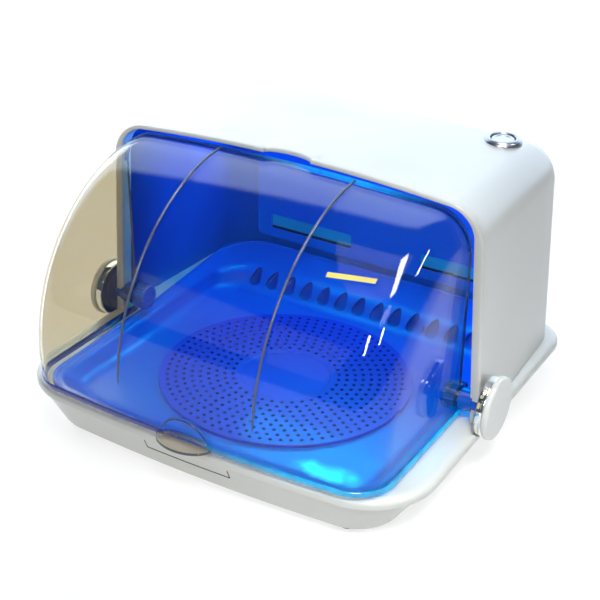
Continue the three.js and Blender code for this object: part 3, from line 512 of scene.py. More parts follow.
def glowing_tube(name, colour, glow):
    """The lamp's glass, brighter along its middle than at its ends."""
    material, point, shader = new_material(name)
    parts = point.make("ShaderNodeSeparateXYZ", {}, {"Vector": point})
    ends = parts.math("ABSOLUTE", parts).ramp(0.12, 0.14)
    tone = ends.mix(colour, (0.05, 0.10, 0.25, 1.0))
    point.feed(shader.inputs["Emission Color"], tone)
    point.feed(shader.inputs["Roughness"], noise(point, 50.0) * 0.1 + 0.05)
    set_inputs(shader, {"Base Color": (0.7, 0.8, 1.0, 1.0), "Emission Strength": glow})
    return material


lamp_glass = glowing_tube("lamp_glass", (0.25, 0.55, 1.0, 1.0), 1.2)
print("materials:", len(bpy.data.materials))

# %% [markdown]
# ## Hood
#
# The hood is one moulding: roof, two sides and back, about 3 mm thick, with a thicker rim round its
# open front. A box with bevelled edges would be quick, but this hood's front leans forward, it
# narrows and falls towards the rear, and its roof is crowned. Here it is one skin of rings instead.
# They run over the inner faces from back to front, round the rim, and back over the outside.
#
# Each ring starts at the right foot, goes over the roof and ends at the left foot. The roof's front
# edge has a shallow notch in its middle, where the visor's lip goes when it is up, so the points
# near the middle lie closer together.

# %% Hood rings


def notch_shift(x, z, depth, top):
    """How far the roof's front edge steps back near the middle."""
    if abs(x) >= NOTCH_HALF or z < top - 1:
        return 0.0
    fade = clamp(1 - (depth - RIM_ROUND) / 24)
    return NOTCH_DEPTH * math.sqrt(1 - (x / NOTCH_HALF) ** 2) * fade


def hood_ring(depth, inset, side_wall, top_wall, foot=0.3):
    share = clamp(depth / HOOD_DEPTH)
    foot_half = HOOD_WIDTH / 2 - REAR_NARROWING * share - inset - side_wall
    shoulder = foot_half - SIDE_LEAN
    radius = max(HOOD_CORNER - side_wall - inset / 2, 2 * HOOD_WALL)
    flat = shoulder - radius
    top = HOOD_HEIGHT - ROOF_FALL * share - inset - top_wall
    crown = along(CROWN_FRONT, CROWN_REAR, share)
    points = [(along(foot_half, shoulder, i / 6), along(foot, top - radius, i / 6)) for i in range(6)]
    for i in range(15):
        angle = QUARTER * i / 14
        points.append((flat + radius * math.cos(angle), top - radius + radius * math.sin(angle)))
    coarse, fine = 14, 22
    sides = [along(flat, NOTCH_HALF, i / coarse) for i in range(1, coarse + 1)]
    sides += [NOTCH_HALF * math.cos(QUARTER * i / fine) for i in range(1, fine + 1)]
    points += [(x, top + crown * (1 - (x / flat) ** 2)) for x in sides]
    points += [(-x, z) for x, z in reversed(points[:-1])]
    lean = FRONT_LEAN * (1 - share) / HOOD_HEIGHT
    return [
        place(x, depth - lean * z + notch_shift(x, z, depth, top), z) for x, z in points
    ]


def hood_rings():
    inner_round = HOOD_REAR_ROUND - HOOD_WALL
    inner_turn = HOOD_DEPTH - HOOD_WALL - inner_round
    outer_turn = HOOD_DEPTH - HOOD_REAR_ROUND
    rings = []
    for i in range(12, -1, -1):
        angle = QUARTER * i / 12
        rings.append(hood_ring(inner_turn + inner_round * math.sin(angle),
                               inner_round * (1 - math.cos(angle)), HOOD_WALL, ROOF_WALL))
    for share in (0.8, 0.6, 0.4, 0.2, 0.05, 0.0):
        rings.append(hood_ring(along(RIM_DEPTH, inner_turn, share), 0, HOOD_WALL, ROOF_WALL))
    inside = len(rings)
    rings.append(hood_ring(RIM_DEPTH, 0, RIM_WALL - 0.6, ROOF_RIM))
    rings.append(hood_ring(RIM_DEPTH - 0.6, 0, RIM_WALL, ROOF_RIM))
    rings.append(hood_ring(RIM_DEPTH / 2, 0, RIM_WALL, ROOF_RIM))
    rings.append(hood_ring(0.8, 0, RIM_WALL, ROOF_RIM))
    rings.append(hood_ring(0.25, 0, RIM_WALL - 0.2, ROOF_RIM - 0.1))
    rings.append(hood_ring(0.0, 0, RIM_WALL - 0.8, ROOF_RIM - 0.3))
    for i in range(6, -1, -1):
        angle = QUARTER * i / 6
        rings.append(hood_ring(RIM_ROUND * (1 - math.cos(QUARTER - angle)) if i < 6 else 0.0,
                               RIM_ROUND * (1 - math.cos(angle)), 0, 0))
    for share in (0.05, 0.15, 0.3, 0.5, 0.75):
        rings.append(hood_ring(along(RIM_ROUND, outer_turn, share), 0, 0, 0))
    for i in range(15):
        angle = QUARTER * i / 14
        rings.append(hood_ring(outer_turn + HOOD_REAR_ROUND * math.sin(angle),
                               HOOD_REAR_ROUND * (1 - math.cos(angle)), 0, 0))
    return rings, inside


print("the hood has", len(hood_rings()[0]), "rings of", len(hood_ring(0, 0, 0, 0)), "points")

# %% [markdown]
# ### Cutting
#
# The hood still needs a window for the louvred cover at its back and a hole for the push button.
# Both are easier to cut than to weave into the rings. A cutter is a plain solid: `block` makes a
# box and `turned` makes anything that a lathe could. `carve` takes it away with the exact solver,
# keeps the result as a mesh and removes the cutter. The cut faces take the cutter's last material.

# %% Cutters and turned bodies


def apply_modifiers(made, sharp=32):
    """Puts the result of an object's modifiers into its mesh."""
    bpy.context.view_layer.update()
    ready = bpy.data.meshes.new_from_object(made.evaluated_get(bpy.context.evaluated_depsgraph_get()))
    made.modifiers.clear()
    made.data = ready
    tidy(made, sharp)


def carve(made, cutters, operation="DIFFERENCE", sharp=32):
    """Cuts solids out of an object and removes them."""
    for cutter in cutters:
        step = made.modifiers.new("cut", "BOOLEAN")
        step.operation = operation
        step.solver = "EXACT"
        step.object = cutter
    apply_modifiers(made, sharp)
    for cutter in cutters:
        bpy.data.objects.remove(cutter)


def cutter_from(name, vertices, faces, materials=()):
    """A solid to cut with; the cut faces take the last of its materials."""
    mesh = bpy.data.meshes.new(name)
    mesh.from_pydata([tuple(v) for v in vertices], [], [tuple(f) for f in faces])
    for material in materials:
        mesh.materials.append(material)
    for polygon in mesh.polygons:
        polygon.material_index = max(len(materials) - 1, 0)
    made = bpy.data.objects.new(name, mesh)
    bpy.context.scene.collection.objects.link(made)
    tidy(made)
    return made


def block(low, high):
    """Vertices and faces of a box between two corners in the cabinet's millimetres."""
    rings = []
    for z in (low[2], high[2]):
        corners = ((low[0], low[1]), (high[0], low[1]), (high[0], high[1]), (low[0], high[1]))
        rings.append([place(x, y, z) for x, y in corners])
    return skin(rings, cap_first=True, cap_last=True)


def turned(profile, centre, axis, steps=96):
    """A lathe body: its profile is (radius, distance) in millimetres along an axis from a centre."""
    axis = Vector(axis).normalized()
    side = axis.orthogonal().normalized()
    other = axis.cross(side)
    rings = []
    for radius, distance in profile:
        ring = []
        for i in range(steps):
            angle = 2 * math.pi * i / steps
            out = side * math.cos(angle) + other * math.sin(angle)
            ring.append(centre + (out * max(radius, 0.001) + axis * distance) * MM)
        rings.append(ring)
    return skin(rings, cap_first=True, cap_last=True)


print("a lathe body of two rings has", len(turned([(5, 0), (5, 9)], place(0, 0, 0), (0, 0, 1))[1]), "faces")

# %% [markdown]
# ### Putting the hood together
#
# The inner faces are blue liner and the rim and the outside are white. Both belong to one moulding,
# so they share one mesh and the finish is chosen by the number of the face: the rings were made
# from inside to outside, and so were their faces.

# %% Hood
WINDOW_INSET_SIDE, WINDOW_INSET_END, BUTTON_HOLE = 14, 5, 12.3


def make_hood():
    rings, inside = hood_rings()
    vertices, faces = skin(rings, closed_ring=False, cap_first=True, cap_last=True)
    count = len(rings[0])
    right = [row * count for row in range(len(rings))]
    left = [row * count + count - 1 for row in range(len(rings))]
    faces.append(tuple(right + left[::-1]))
    row_faces = inside * (count - 1)
    first_cap = (len(rings) - 1) * (count - 1)
    hood = piece(
        "hood", vertices, faces, "base", [hood_white, liner_blue], ["hood_shell"],
        chosen=lambda index, centre: 1 if index < row_faces or index == first_cap else 0,
    )
    low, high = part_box("rear_cover")
    side, end = WINDOW_INSET_SIDE, WINDOW_INSET_END
    window = cutter_from("window", *block(
        (low.x / MM + side, 192, low.z / MM - SHELF_Z + end),
        (high.x / MM - side, 210, high.z / MM - SHELF_Z - end)))
    low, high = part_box("power_bezel")
    spot = place((low.x + high.x) / 2 / MM, (low.y + high.y) / 2 / MM - FRONT_Y, 0)
    hole_profile = [(BUTTON_HOLE, 165), (BUTTON_HOLE, 205)]
    button_hole = cutter_from("button_hole", *turned(hole_profile, spot, (0, 0, 1), 64))
    carve(hood, [window, button_hole])
    return hood


hood = make_hood()
print("hood faces:", len(hood.data.polygons))

# %% [markdown]
# ## Base
#
# The base is a shelf with a rounded lip, a thin step under the lip and a skirt that tapers to its
# foot. Its outline is a rectangle with large corners and a front that bows out slightly. Stacking
# copies of that outline, each a little larger or smaller, gives the whole housing as one closed
# skin: up the tray's well, out over the shelf, round the lip, down the skirt and back up inside.
#
# `outline` draws the shape and `eased` rounds the corner between two walls, as a fillet does. A
# bevel modifier would work on the sharp version too, but it would also round edges that should
# stay crisp. The hubs sit in two shallow saddles cut into the lip, and the inlet has its seat at
# the back.

# %% Base outline
BASE_FRONT, BASE_REAR, BASE_HALF = 153, HOOD_DEPTH + REAR_LEDGE, 188
FRONT_ROUND, REAR_ROUND, FRONT_BOW = 60, 38, 5
WELL_FRONT, WELL_REAR, WELL_HALF_FRONT, WELL_HALF_REAR = 142.5, 149, 152.5, 150.5
WELL_FRONT_ROUND, WELL_REAR_ROUND = 27, 42
LIP_ROUND_SIDE, LIP_ROUND_FRONT, LIP_ROUND_DOWN = 10, 8, 5
SKIRT_Z, SKIRT_SIDE, SKIRT_FRONT, SKIRT_REAR = (-9.6, -37), (5.2, 25), (1.2, 14), (5.2, 9)
BOTTOM_Z = -43


def outline(front, rear, half_front, half_rear, front_radius, rear_radius, bow):
    """A rounded outline, its front bowed outwards, as (x, y) in millimetres."""
    points = []
    corner, bows, sides = 14, 24, 12
    reach = half_front - front_radius
    front_turn = front + bow + front_radius
    rear_turn = rear - rear_radius

    def arc(x, y, radius, start):
        for i in range(corner + 1):
            angle = start + QUARTER * i / corner
            points.append((x + radius * math.cos(angle), y + radius * math.sin(angle)))

    def side(sign, start, end):
        for i in range(1, sides):
            share = along(start, end, i / sides)
            points.append((sign * along(half_front, half_rear, share), along(front_turn, rear_turn, share)))

    for i in range(1, bows):
        share = 2 * i / bows - 1
        points.append((reach * share, front + bow * share**2))
    arc(reach, front_turn, front_radius, -QUARTER)
    side(1, 0, 1)
    arc(half_rear - rear_radius, rear_turn, rear_radius, 0)
    arc(rear_radius - half_rear, rear_turn, rear_radius, QUARTER)
    side(-1, 1, 0)
    arc(-reach, front_turn, front_radius, 2 * QUARTER)
    return points


def eased(first, corner, last, share, steps=5):
    """Rings that round the corner between three rings of cabinet points."""
    result = []
    for i in range(steps + 1):
        t = i / steps
        ring = []
        for a, b, c in zip(first, corner, last):
            start = b.lerp(a, share)
            end = b.lerp(c, share)
            ring.append(start * (1 - t) ** 2 + b * 2 * t * (1 - t) + end * t**2)
        result.append(ring)
    return result


def base_ring(side, front, rear, z):
    points = outline(front - BASE_FRONT, BASE_REAR - rear, BASE_HALF - side, BASE_HALF - side,
                     FRONT_ROUND - (side + front) / 2, REAR_ROUND - (side + rear) / 2, FRONT_BOW)
    return [place(x, y, z) for x, y in points]


def shoulder_ring(inset, z):
    points = outline(inset - WELL_FRONT, WELL_REAR - inset, WELL_HALF_FRONT - inset, WELL_HALF_REAR - inset,
                     WELL_FRONT_ROUND - inset, WELL_REAR_ROUND - inset, FRONT_BOW)
    return [place(x, y, z) for x, y in points]


print("points round the base:", len(base_ring(0, 0, 0, 0)))

# %% [markdown]
# ### Rings of the base
#
# The rings are listed in the order in which the skin runs, and the list closes on itself. A quarter
# circle of rings makes the lip's round edge. The saddles and the inlet's seat are cut at the end,
# from the finished skin.

# %% Base


def base_rings():
    rings = [shoulder_ring(-2.8, -12), shoulder_ring(-2.8, -0.6), shoulder_ring(-3.4, 0)]
    rings.append(base_ring(13, 10.4, 10.4, 0))
    for i in range(11):
        angle = QUARTER * i / 10
        inward = 1 - math.sin(angle)
        rings.append(base_ring(LIP_ROUND_SIDE * inward, LIP_ROUND_FRONT * inward, LIP_ROUND_FRONT * inward,
                               -LIP_ROUND_DOWN * (1 - math.cos(angle))))
    rings += [
        base_ring(0, 0, 0, -7.6),
        base_ring(0.15, 0.05, 0.15, -8.3),
        base_ring(0.5, 0.15, 0.5, -8.75),
        base_ring(1.1, 0.35, 1.1, -9.0),
        base_ring(4.4, 0.85, 4.4, -9.25),
        base_ring(SKIRT_SIDE[0], SKIRT_FRONT[0], SKIRT_REAR[0], SKIRT_Z[0]),
    ]
    for i in range(1, 5):
        share = i / 4
        rings.append(base_ring(along(*SKIRT_SIDE, share), along(*SKIRT_FRONT, share),
                               along(*SKIRT_REAR, share), along(*SKIRT_Z, share)))
    rings += eased(base_ring(25, 14, 9, SKIRT_Z[1]), base_ring(28, 17, 12, BOTTOM_Z),
                   base_ring(31.5, 20.5, 15.5, BOTTOM_Z), 1.0)[1:]
    rings += [
        base_ring(33.8, 22.8, 17.8, BOTTOM_Z),
        base_ring(33.8, 22.8, 17.8, BOTTOM_Z + 2.6),
        base_ring(14, 9, 10, -12),
    ]
    return rings


base = piece("base", *skin(base_rings(), closed_row=True), "base", [base_white], ["base_housing"])
HUB_RADIUS, HUB_FACE, SADDLE_GAP, SADDLE_DEPTH = 25.5, 185.6, 1.0, 8
saddles = []
for side in (1, -1):
    saddles.append(cutter_from("saddle", *turned(
        [(HUB_RADIUS + SADDLE_GAP, 0), (HUB_RADIUS + SADDLE_GAP, SADDLE_DEPTH)],
        place(side * (HUB_FACE - SADDLE_GAP), PIVOT_Y, PIVOT_Z), (side, 0, 0))))
inlet_low, inlet_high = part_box("power_inlet")
inlet_x = (inlet_low.x + inlet_high.x) / 2 / MM
inlet_z = (inlet_low.z + inlet_high.z) / 2 / MM - SHELF_Z
INLET_HALF, INLET_HIGH, SEAT_GAP = 17, 11, 0.3
inlet_seat = cutter_from("inlet_seat", *block(
    (inlet_x - INLET_HALF - SEAT_GAP, 197, inlet_z - INLET_HIGH - SEAT_GAP),
    (inlet_x + INLET_HALF + SEAT_GAP, 208, inlet_z + INLET_HIGH + SEAT_GAP)))
carve(base, saddles + [inlet_seat])
print("base faces:", len(base.data.polygons))

# %% [markdown]
# ## Pierced plates
#
# The bottom plate, the drain plate, the back panel and the louvred cover are all flat sheets with
# holes. Cutting hundreds of holes with a boolean would be slow. So the flat face is filled between
# its outline and its holes by a triangulation. Its triangles include those inside the holes, and
# `open_faces` drops these by looking where the middle of each one lies.
#
# The face is then repeated on the other side, and both are joined by walls whose edges are broken
# by a small bevel. A loop is a function of how far it grows, so that one drawing gives the wall and
# its bevel.

# %% Pierced plates


def circle(x, y, radius, steps):
    """A round loop that can grow."""
    return lambda grow: [
        (x + (radius + grow) * math.cos(4 * QUARTER * i / steps),
         y + (radius + grow) * math.sin(4 * QUARTER * i / steps)) for i in range(steps)]


def pill(x, y, half_width, half_height, radius, steps=6):
    """A rectangle with rounded corners that can grow."""
    def loop(grow):
        points = []
        for turn, (sx, sy) in enumerate(((1, 1), (-1, 1), (-1, -1), (1, -1))):
            for i in range(steps + 1):
                angle = QUARTER * (turn + i / steps)
                points.append((x + sx * (half_width - radius) + (radius + grow) * math.cos(angle),
                               y + sy * (half_height - radius) + (radius + grow) * math.sin(angle)))
        return points
    return loop


def holds(loop, x, y):
    """Whether a loop goes round a point."""
    held = False
    for (ax, ay), (bx, by) in zip(loop, loop[1:] + loop[:1]):
        if (ay > y) != (by > y) and x < ax + (bx - ax) * (y - ay) / (by - ay):
            held = not held
    return held


def open_faces(faces, points, loops):
    """The faces whose middle lies in none of the loops."""
    spans = [(min(x for x, _ in loop), max(x for x, _ in loop),
              min(y for _, y in loop), max(y for _, y in loop), loop) for loop in loops]
    kept = []
    for face in faces:
        x = sum(points[i][0] for i in face) / len(face)
        y = sum(points[i][1] for i in face) / len(face)
        if not any(a < x < b and c < y < d and holds(loop, x, y) for a, b, c, d, loop in spans):
            kept.append(face)
    return kept


def pierced(outer, holes, low, high, edge, to_point, blanks=()):
    """Vertices and faces of a plate between two depths, with holes."""
    loops = [outer(-edge)] + [hole(edge) for hole in holes] + [blank(0) for blank in blanks]
    points, edges = [], []
    for loop in loops:
        first = len(points)
        points += [Vector(p) for p in loop]
        edges += [(first + i, first + (i + 1) % len(loop)) for i in range(len(loop))]
    flat, _, triangles, *_ = delaunay_2d_cdt(points, edges, [], 1, 1e-7)
    triangles = open_faces(triangles, flat, loops[1:])
    vertices = [to_point(x, y, high) for x, y in flat] + [to_point(x, y, low) for x, y in flat]
    faces = [tuple(t) for t in triangles]
    faces += [tuple(i + len(flat) for i in t[::-1]) for t in triangles]
    for sign, loop in [(-1, outer)] + [(1, hole) for hole in holes]:
        rings = []
        for grow, depth in ((edge, high), (0, high - edge), (0, low + edge), (edge, low)):
            rings.append([to_point(x, y, depth) for x, y in loop(sign * grow)])
        more, walls = skin(rings)
        faces += [tuple(i + len(vertices) for i in wall) for wall in walls]
        vertices += more
    return vertices, faces


print("points round a screw hole:", len(circle(0, 0, 2.2, 24)(0)))

# %% [markdown]
# ### Bottom plate
#
# The bottom plate closes the base from below and carries the feet. It is a flat sheet with the
# skirt's outline, set in by the skirt's wall, and four screw holes whose places come from the
# screws.

# %% Bottom plate
PLATE_INSET_FRONT, PLATE_INSET_REAR, PLATE_INSET_SIDE = 23.3, 18.3, 34.3
PLATE_TOP, SCREW_HOLE = -40.5, 2.2


def plate_outer(grow):
    half = BASE_HALF - PLATE_INSET_SIDE + grow
    return outline(PLATE_INSET_FRONT - grow - BASE_FRONT, BASE_REAR - PLATE_INSET_REAR + grow, half, half,
                   31 + grow, 12 + grow, FRONT_BOW)


plate_screws = []
for node in ("front_right", "front_left", "rear_right", "rear_left"):
    low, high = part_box("plate_screw_" + node)
    plate_screws.append(((low.x + high.x) / 2 / MM, (low.y + high.y) / 2 / MM - FRONT_Y))
plate_holes = [circle(x, y, SCREW_HOLE, 24) for x, y in plate_screws]
bottom = piece("bottom_plate", *pierced(plate_outer, plate_holes, BOTTOM_Z, PLATE_TOP, 0.5, place),
               "base", [base_white], ["bottom_plate"])
print("bottom plate faces:", len(bottom.data.polygons))

# %% [markdown]
# ## Tray
#
# The tray is one blue moulding with a thin wall. Its rim stands on the shelf and rises towards the
# back, and from the rim its walls fall to a flat floor in large soft curves. Like the base it is a
# stack of outlines, and `eased` rounds the two bends as a mould would.
#
# A row of leaf-shaped hollows runs along the rear slope. Each is a stretched ball, narrower at its
# top and tilted to lie in the slope, that is cut out of the sheet and leaves a darker blue behind,
# painted shade in the hollow.

# %% Tray
TRAY_FRONT, TRAY_REAR, TRAY_HALF_FRONT, TRAY_HALF_REAR = 149.5, 182, 159.5, 164.5
TRAY_FRONT_ROUND, TRAY_REAR_ROUND = 34, 42
FLOOR_FRONT, FLOOR_REAR, FLOOR_HALF_FRONT, FLOOR_HALF_REAR = 126, 131, 143, 150
FLOOR_FRONT_ROUND, FLOOR_REAR_ROUND, FLOOR_Z = 27, 35, -16
RIM_RISE, REAR_RISE, RISE_START, RISE_RUN = 2.6, 10, 22, 160
DRAIN_Y, DRAIN_RADIUS, PLAIN_RADIUS = 2.5, 112, 40
FLUTES, FLUTE_PITCH, FLUTE_Y, FLUTE_Z = 13, 19.5, 140, -7.2
FLUTE_HALF_WIDTH, FLUTE_HALF_LENGTH, FLUTE_DEPTH, FLUTE_POINT = 6.4, 11.5, 2.6, 0.38
REAR_SLOPE = math.atan2(16, 18)


def rim_top(y):
    return RIM_RISE + REAR_RISE * clamp((y - RISE_START) / RISE_RUN)


def rim_ring(inset, height):
    points = outline(inset - TRAY_FRONT, TRAY_REAR - inset, TRAY_HALF_FRONT - inset, TRAY_HALF_REAR - inset,
                     TRAY_FRONT_ROUND - inset, TRAY_REAR_ROUND - inset, FRONT_BOW)
    return [place(x, y, height(y) if callable(height) else height) for x, y in points]


def floor_ring(inset, z):
    points = outline(
        inset - FLOOR_FRONT, FLOOR_REAR - inset, FLOOR_HALF_FRONT - inset, FLOOR_HALF_REAR - inset,
        FLOOR_FRONT_ROUND - inset, FLOOR_REAR_ROUND - inset, FRONT_BOW)
    return [place(x, y, z) for x, y in points]


def tray_rings():
    """The underside, the rim and the inside, down to a circle under the drain plate."""
    rings = [
        floor_ring(6, -18.5), floor_ring(-2, -17.8), floor_ring(-2.5, FLOOR_Z), shoulder_ring(-2.5, -2.5),
        shoulder_ring(-2.5, 0.3), rim_ring(0.3, 0.3), rim_ring(0, 0.7),
        rim_ring(0, lambda y: rim_top(y) - 1.2),
        rim_ring(0.15, lambda y: rim_top(y) - 0.7),
        rim_ring(0.6, lambda y: rim_top(y) - 0.2),
        rim_ring(1.3, rim_top),
        rim_ring(2.7, rim_top),
        rim_ring(3.5, lambda y: rim_top(y) - 0.3),
        rim_ring(4.2, lambda y: rim_top(y) - 1.2),
    ]
    rings += eased(
        rim_ring(5.0, lambda y: rim_top(y) - 2.2), shoulder_ring(2, 0.6), floor_ring(-1, -13), 0.45, 8)
    rings += eased(shoulder_ring(2, 0.6), floor_ring(1.5, FLOOR_Z), floor_ring(28, FLOOR_Z), 0.42, 9)
    middle = place(0, DRAIN_Y, FLOOR_Z)
    rings.append([middle + (point - middle).normalized() * (DRAIN_RADIUS - 1) * MM for point in rings[-1]])
    return rings


def flute_cutter(i):
    """A ball stretched into a leaf that lies in the rear slope."""
    half_turns = [2 * QUARTER * t / 14 for t in range(1, 14)]
    ball = [(0, -1)] + [(math.sin(turn), -math.cos(turn)) for turn in half_turns] + [(0, 1)]
    vertices, faces = turned(ball, Vector((0, 0, 0)), (0, 0, 1), 28)
    tilt = Matrix.Rotation(REAR_SLOPE, 4, "X")
    centre = place((i - FLUTES // 2) * FLUTE_PITCH, FLUTE_Y, FLUTE_Z)
    placed = []
    for v in vertices:
        across, up, out = v.x / MM, v.y / MM, v.z / MM
        half_width = FLUTE_HALF_WIDTH * (1 - FLUTE_POINT * up)
        leaf = Vector((across * half_width, up * FLUTE_HALF_LENGTH, out * FLUTE_DEPTH))
        placed.append(centre + (tilt @ leaf) * MM)
    return cutter_from("leaf", placed, faces, [tray_blue, hole_shade_blue, flute_shade_blue])


def make_tray():
    vertices, faces = skin(tray_rings(), cap_first=True, cap_last=True)
    # The floor under the drain plate takes the darker blue, painted shade seen through the holes.
    tray = piece("tray", vertices, faces, "base", [tray_blue, hole_shade_blue, flute_shade_blue], ["tray"],
                 chosen=lambda index, centre: 1 if index == len(faces) - 1 else 0)
    carve(tray, [flute_cutter(i) for i in range(FLUTES)], sharp=24)
    return tray


tray = make_tray()
print("tray faces:", len(tray.data.polygons))

# %% [markdown]
# ## Drain plate
#
# A loose round plate lies on the tray's floor and lets water run off. Rings of small holes go round
# a plain, slightly sunken middle. The holes are eight-sided, because there are hundreds of them and
# each is only 3 mm wide: nobody sees the corners, and every extra side adds faces to each of them.
# Every second ring is turned by half a step, so that the holes don't line up in rays.

# %% Drain plate
DRAIN_RINGS, FIRST_RING, RING_STEP, HOLE_PITCH, HOLE_RADIUS, HOLE_SIDES = 9, 47, 7.2, 8.6, 1.5, 8
PLAIN_SIDES = 64


def make_drain_plate():
    low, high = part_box("drain_plate")
    bottom_z, top_z = low.z / MM - SHELF_Z, high.z / MM - SHELF_Z
    holes = []
    for ring in range(DRAIN_RINGS):
        radius = FIRST_RING + RING_STEP * ring
        count = round(4 * QUARTER * radius / HOLE_PITCH)
        for i in range(count):
            angle = 4 * QUARTER * (i + ring % 2 / 2) / count
            x, y = radius * math.cos(angle), DRAIN_Y + radius * math.sin(angle)
            holes.append(circle(x, y, HOLE_RADIUS, HOLE_SIDES))
    vertices, faces = pierced(
        circle(0, DRAIN_Y, DRAIN_RADIUS, 128), holes, bottom_z, top_z, 0.45, place,
        [circle(0, DRAIN_Y, PLAIN_RADIUS, PLAIN_SIDES)])
    first, last = len(faces) - len(holes) * HOLE_SIDES * 3, len(faces)
    for profile in (
        [(PLAIN_RADIUS, top_z), (PLAIN_RADIUS - 0.5, top_z - 0.15), (PLAIN_RADIUS - 0.9, top_z - 0.5)],
        [(PLAIN_RADIUS, bottom_z)],
    ):
        rings = []
        for radius, z in profile:
            rings.append([place(x, y, z) for x, y in circle(0, DRAIN_Y, radius, PLAIN_SIDES)(0)])
        more, walls = skin(rings, cap_last=True)
        faces += [tuple(i + len(vertices) for i in wall) for wall in walls]
        vertices += more
    # The holes' walls take the darker blue, painted shade inside the holes.
    return piece(
        "drain_plate", vertices, faces, "plate", [plate_blue, hole_shade_blue], ["drain_plate"], sharp=40,
        chosen=lambda index, centre: 1 if first <= index < last else 0)


drain_plate = make_drain_plate()
print("drain plate faces:", len(drain_plate.data.polygons))

# %% [markdown]
# ## Visor
#
# The visor's front is swept round a level line, like a slice of a drum, and its sides are flat. The
# sheet is 2.5 mm thick. It is drawn as one surface without thickness, in columns from top to foot,
# and Solidify then gives it its wall. That keeps the two faces parallel, which matters on a clear
# sheet, since any change of thickness would show as a lens.
#
# A scoop in the middle of the foot makes room for a fingertip. Its points are pushed back by a
# smooth bowl, and the columns lie closer together there. Each flat side is one large face, with an
# ear round the pivot.

# %% Visor curves
SCOOP_HALF, SCOOP_HIGH, SCOOP_Z, SCOOP_DEPTH = 21, 18, 6, 5.4
SHEET_FOOT, EAR_RADIUS = 3.3, 13


def visor_radius(x, grow=0.0):
    corner = VISOR_CORNER + grow
    into = max(abs(x) - (VISOR_HALF - VISOR_CORNER), 0)
    drop = corner - math.sqrt(max(corner**2 - into**2, 0))
    return VISOR_RADIUS + grow - VISOR_CROWN * (x / (VISOR_HALF - VISOR_CORNER)) ** 2 - drop


def scooped(x, y, z, grow=0.0):
    """Presses the fingertip's scoop into a point of the front."""
    share = (x / (SCOOP_HALF + grow)) ** 2 + ((z - SCOOP_Z) / (SCOOP_HIGH + grow)) ** 2
    if share >= 1:
        return y
    return y + SCOOP_DEPTH * (1 - share) ** 0.55 * clamp((1 - share) * 9)


def visor_wall(x, z, grow=0.0):
    """The front's y at a height, with its scoop."""
    radius = visor_radius(x, grow)
    return scooped(x, VISOR_Y - math.sqrt(radius**2 - (z - VISOR_Z) ** 2), z)


def rear_line(z):
    return along(4, -5, z / HOOD_HEIGHT)


def visor_stations(grow=0.0):
    flat = VISOR_HALF - VISOR_CORNER
    corner = [flat + (VISOR_CORNER + grow) * math.cos(QUARTER * i / 12) for i in range(13)]
    middle = [along(flat, 26, i / 10) for i in range(1, 11)]
    fine = list(range(25, 0, -1))
    right = corner + middle + fine
    return right + [0] + [-x for x in reversed(right)]


print("columns over the front:", len(visor_stations()), "foot at y", round(visor_wall(0, SHEET_FOOT), 1))

# %% [markdown]
# ### Columns of the sheet
#
# A column starts where the sheet meets the visor's slanted rear line. That point has no simple
# formula, so it is found by a few repeated guesses, each from the last. The points of a column lie
# closer near its foot, where the scoop is. The rim that Solidify adds shows as the sheet's shining
# edge.

# %% Visor sheet


def sheet_column(x):
    radius = visor_radius(x)
    top = 0.04
    for _ in range(4):
        z = VISOR_Z + radius * math.cos(top)
        top = math.asin(clamp((VISOR_Y - rear_line(z)) / radius, -1, 1))
    fine_start = math.acos((25 - VISOR_Z) / radius)
    angles = [along(top, fine_start, i / 56) for i in range(57)]
    angles += [math.acos((z - VISOR_Z) / radius) for z in [24 - i for i in range(21)] + [SHEET_FOOT]]
    column = []
    for angle in angles:
        y, z = VISOR_Y - radius * math.sin(angle), VISOR_Z + radius * math.cos(angle)
        column.append(place(x, scooped(x, y, z), z))
    return column


def ear_points():
    """The rear edge of a flat side, from its foot round the ear to its top."""
    points = [(rear_line(SHEET_FOOT), SHEET_FOOT)]
    start = math.atan2(5.2 - PIVOT_Z, -2.2)
    end = math.atan2(30.5 - PIVOT_Z, -3.4)
    for i in range(29):
        angle = along(start, end, i / 28)
        points.append((PIVOT_Y + EAR_RADIUS * math.cos(angle), PIVOT_Z + EAR_RADIUS * math.sin(angle)))
    points += [(rear_line(z), z) for z in range(36, 150, 6)]
    return points


def make_visor():
    columns = [sheet_column(x) for x in visor_stations()]
    vertices, faces = skin(columns, closed_ring=False)
    count = len(columns[0])
    for sign, first in ((1, 0), (-1, len(vertices) - count)):
        edge = list(range(first, first + count))
        start = len(vertices)
        top = columns[0][0].z / MM - SHELF_Z
        rear = [place(sign * VISOR_HALF, y, z) for y, z in ear_points() if z < top - 3]
        vertices += rear
        faces.append(tuple(edge + [start + i for i in range(len(rear))]))
    sheet_faces = (len(columns) - 1) * (count - 1)
    made = piece(
        "visor_sheet", vertices, faces, "visor", [visor_tint, edge_glow], ["visor"], sharp=50,
        chosen=lambda index, centre: 1 if index < sheet_faces and index % (count - 1) == 0 else 0)
    thick = made.modifiers.new("thick", "SOLIDIFY")
    thick.thickness = VISOR_WALL * MM
    thick.offset = -1.0
    thick.use_even_offset = True
    thick.material_offset_rim = 1
    apply_modifiers(made, 50)
    return made


visor = make_visor()
print("visor faces:", len(visor.data.polygons))

# %% [markdown]
# ### Bead and scoop line
#
# A thicker bead stiffens the sheet's foot, and a thin raised line rounds the upper edge of the
# scoop. Both follow the visor's own curve, so they are swept along it instead of being bent into
# shape afterwards. The bead is one profile, and each point of the profile is drawn as a line round
# the visor at its own height.

# %% Bead and scoop line
LINE_HALF, LINE_HIGH, LINE_ROUND, LINE_STEPS, LINE_SIDES = 21.4, 18.4, 0.75, 48, 10


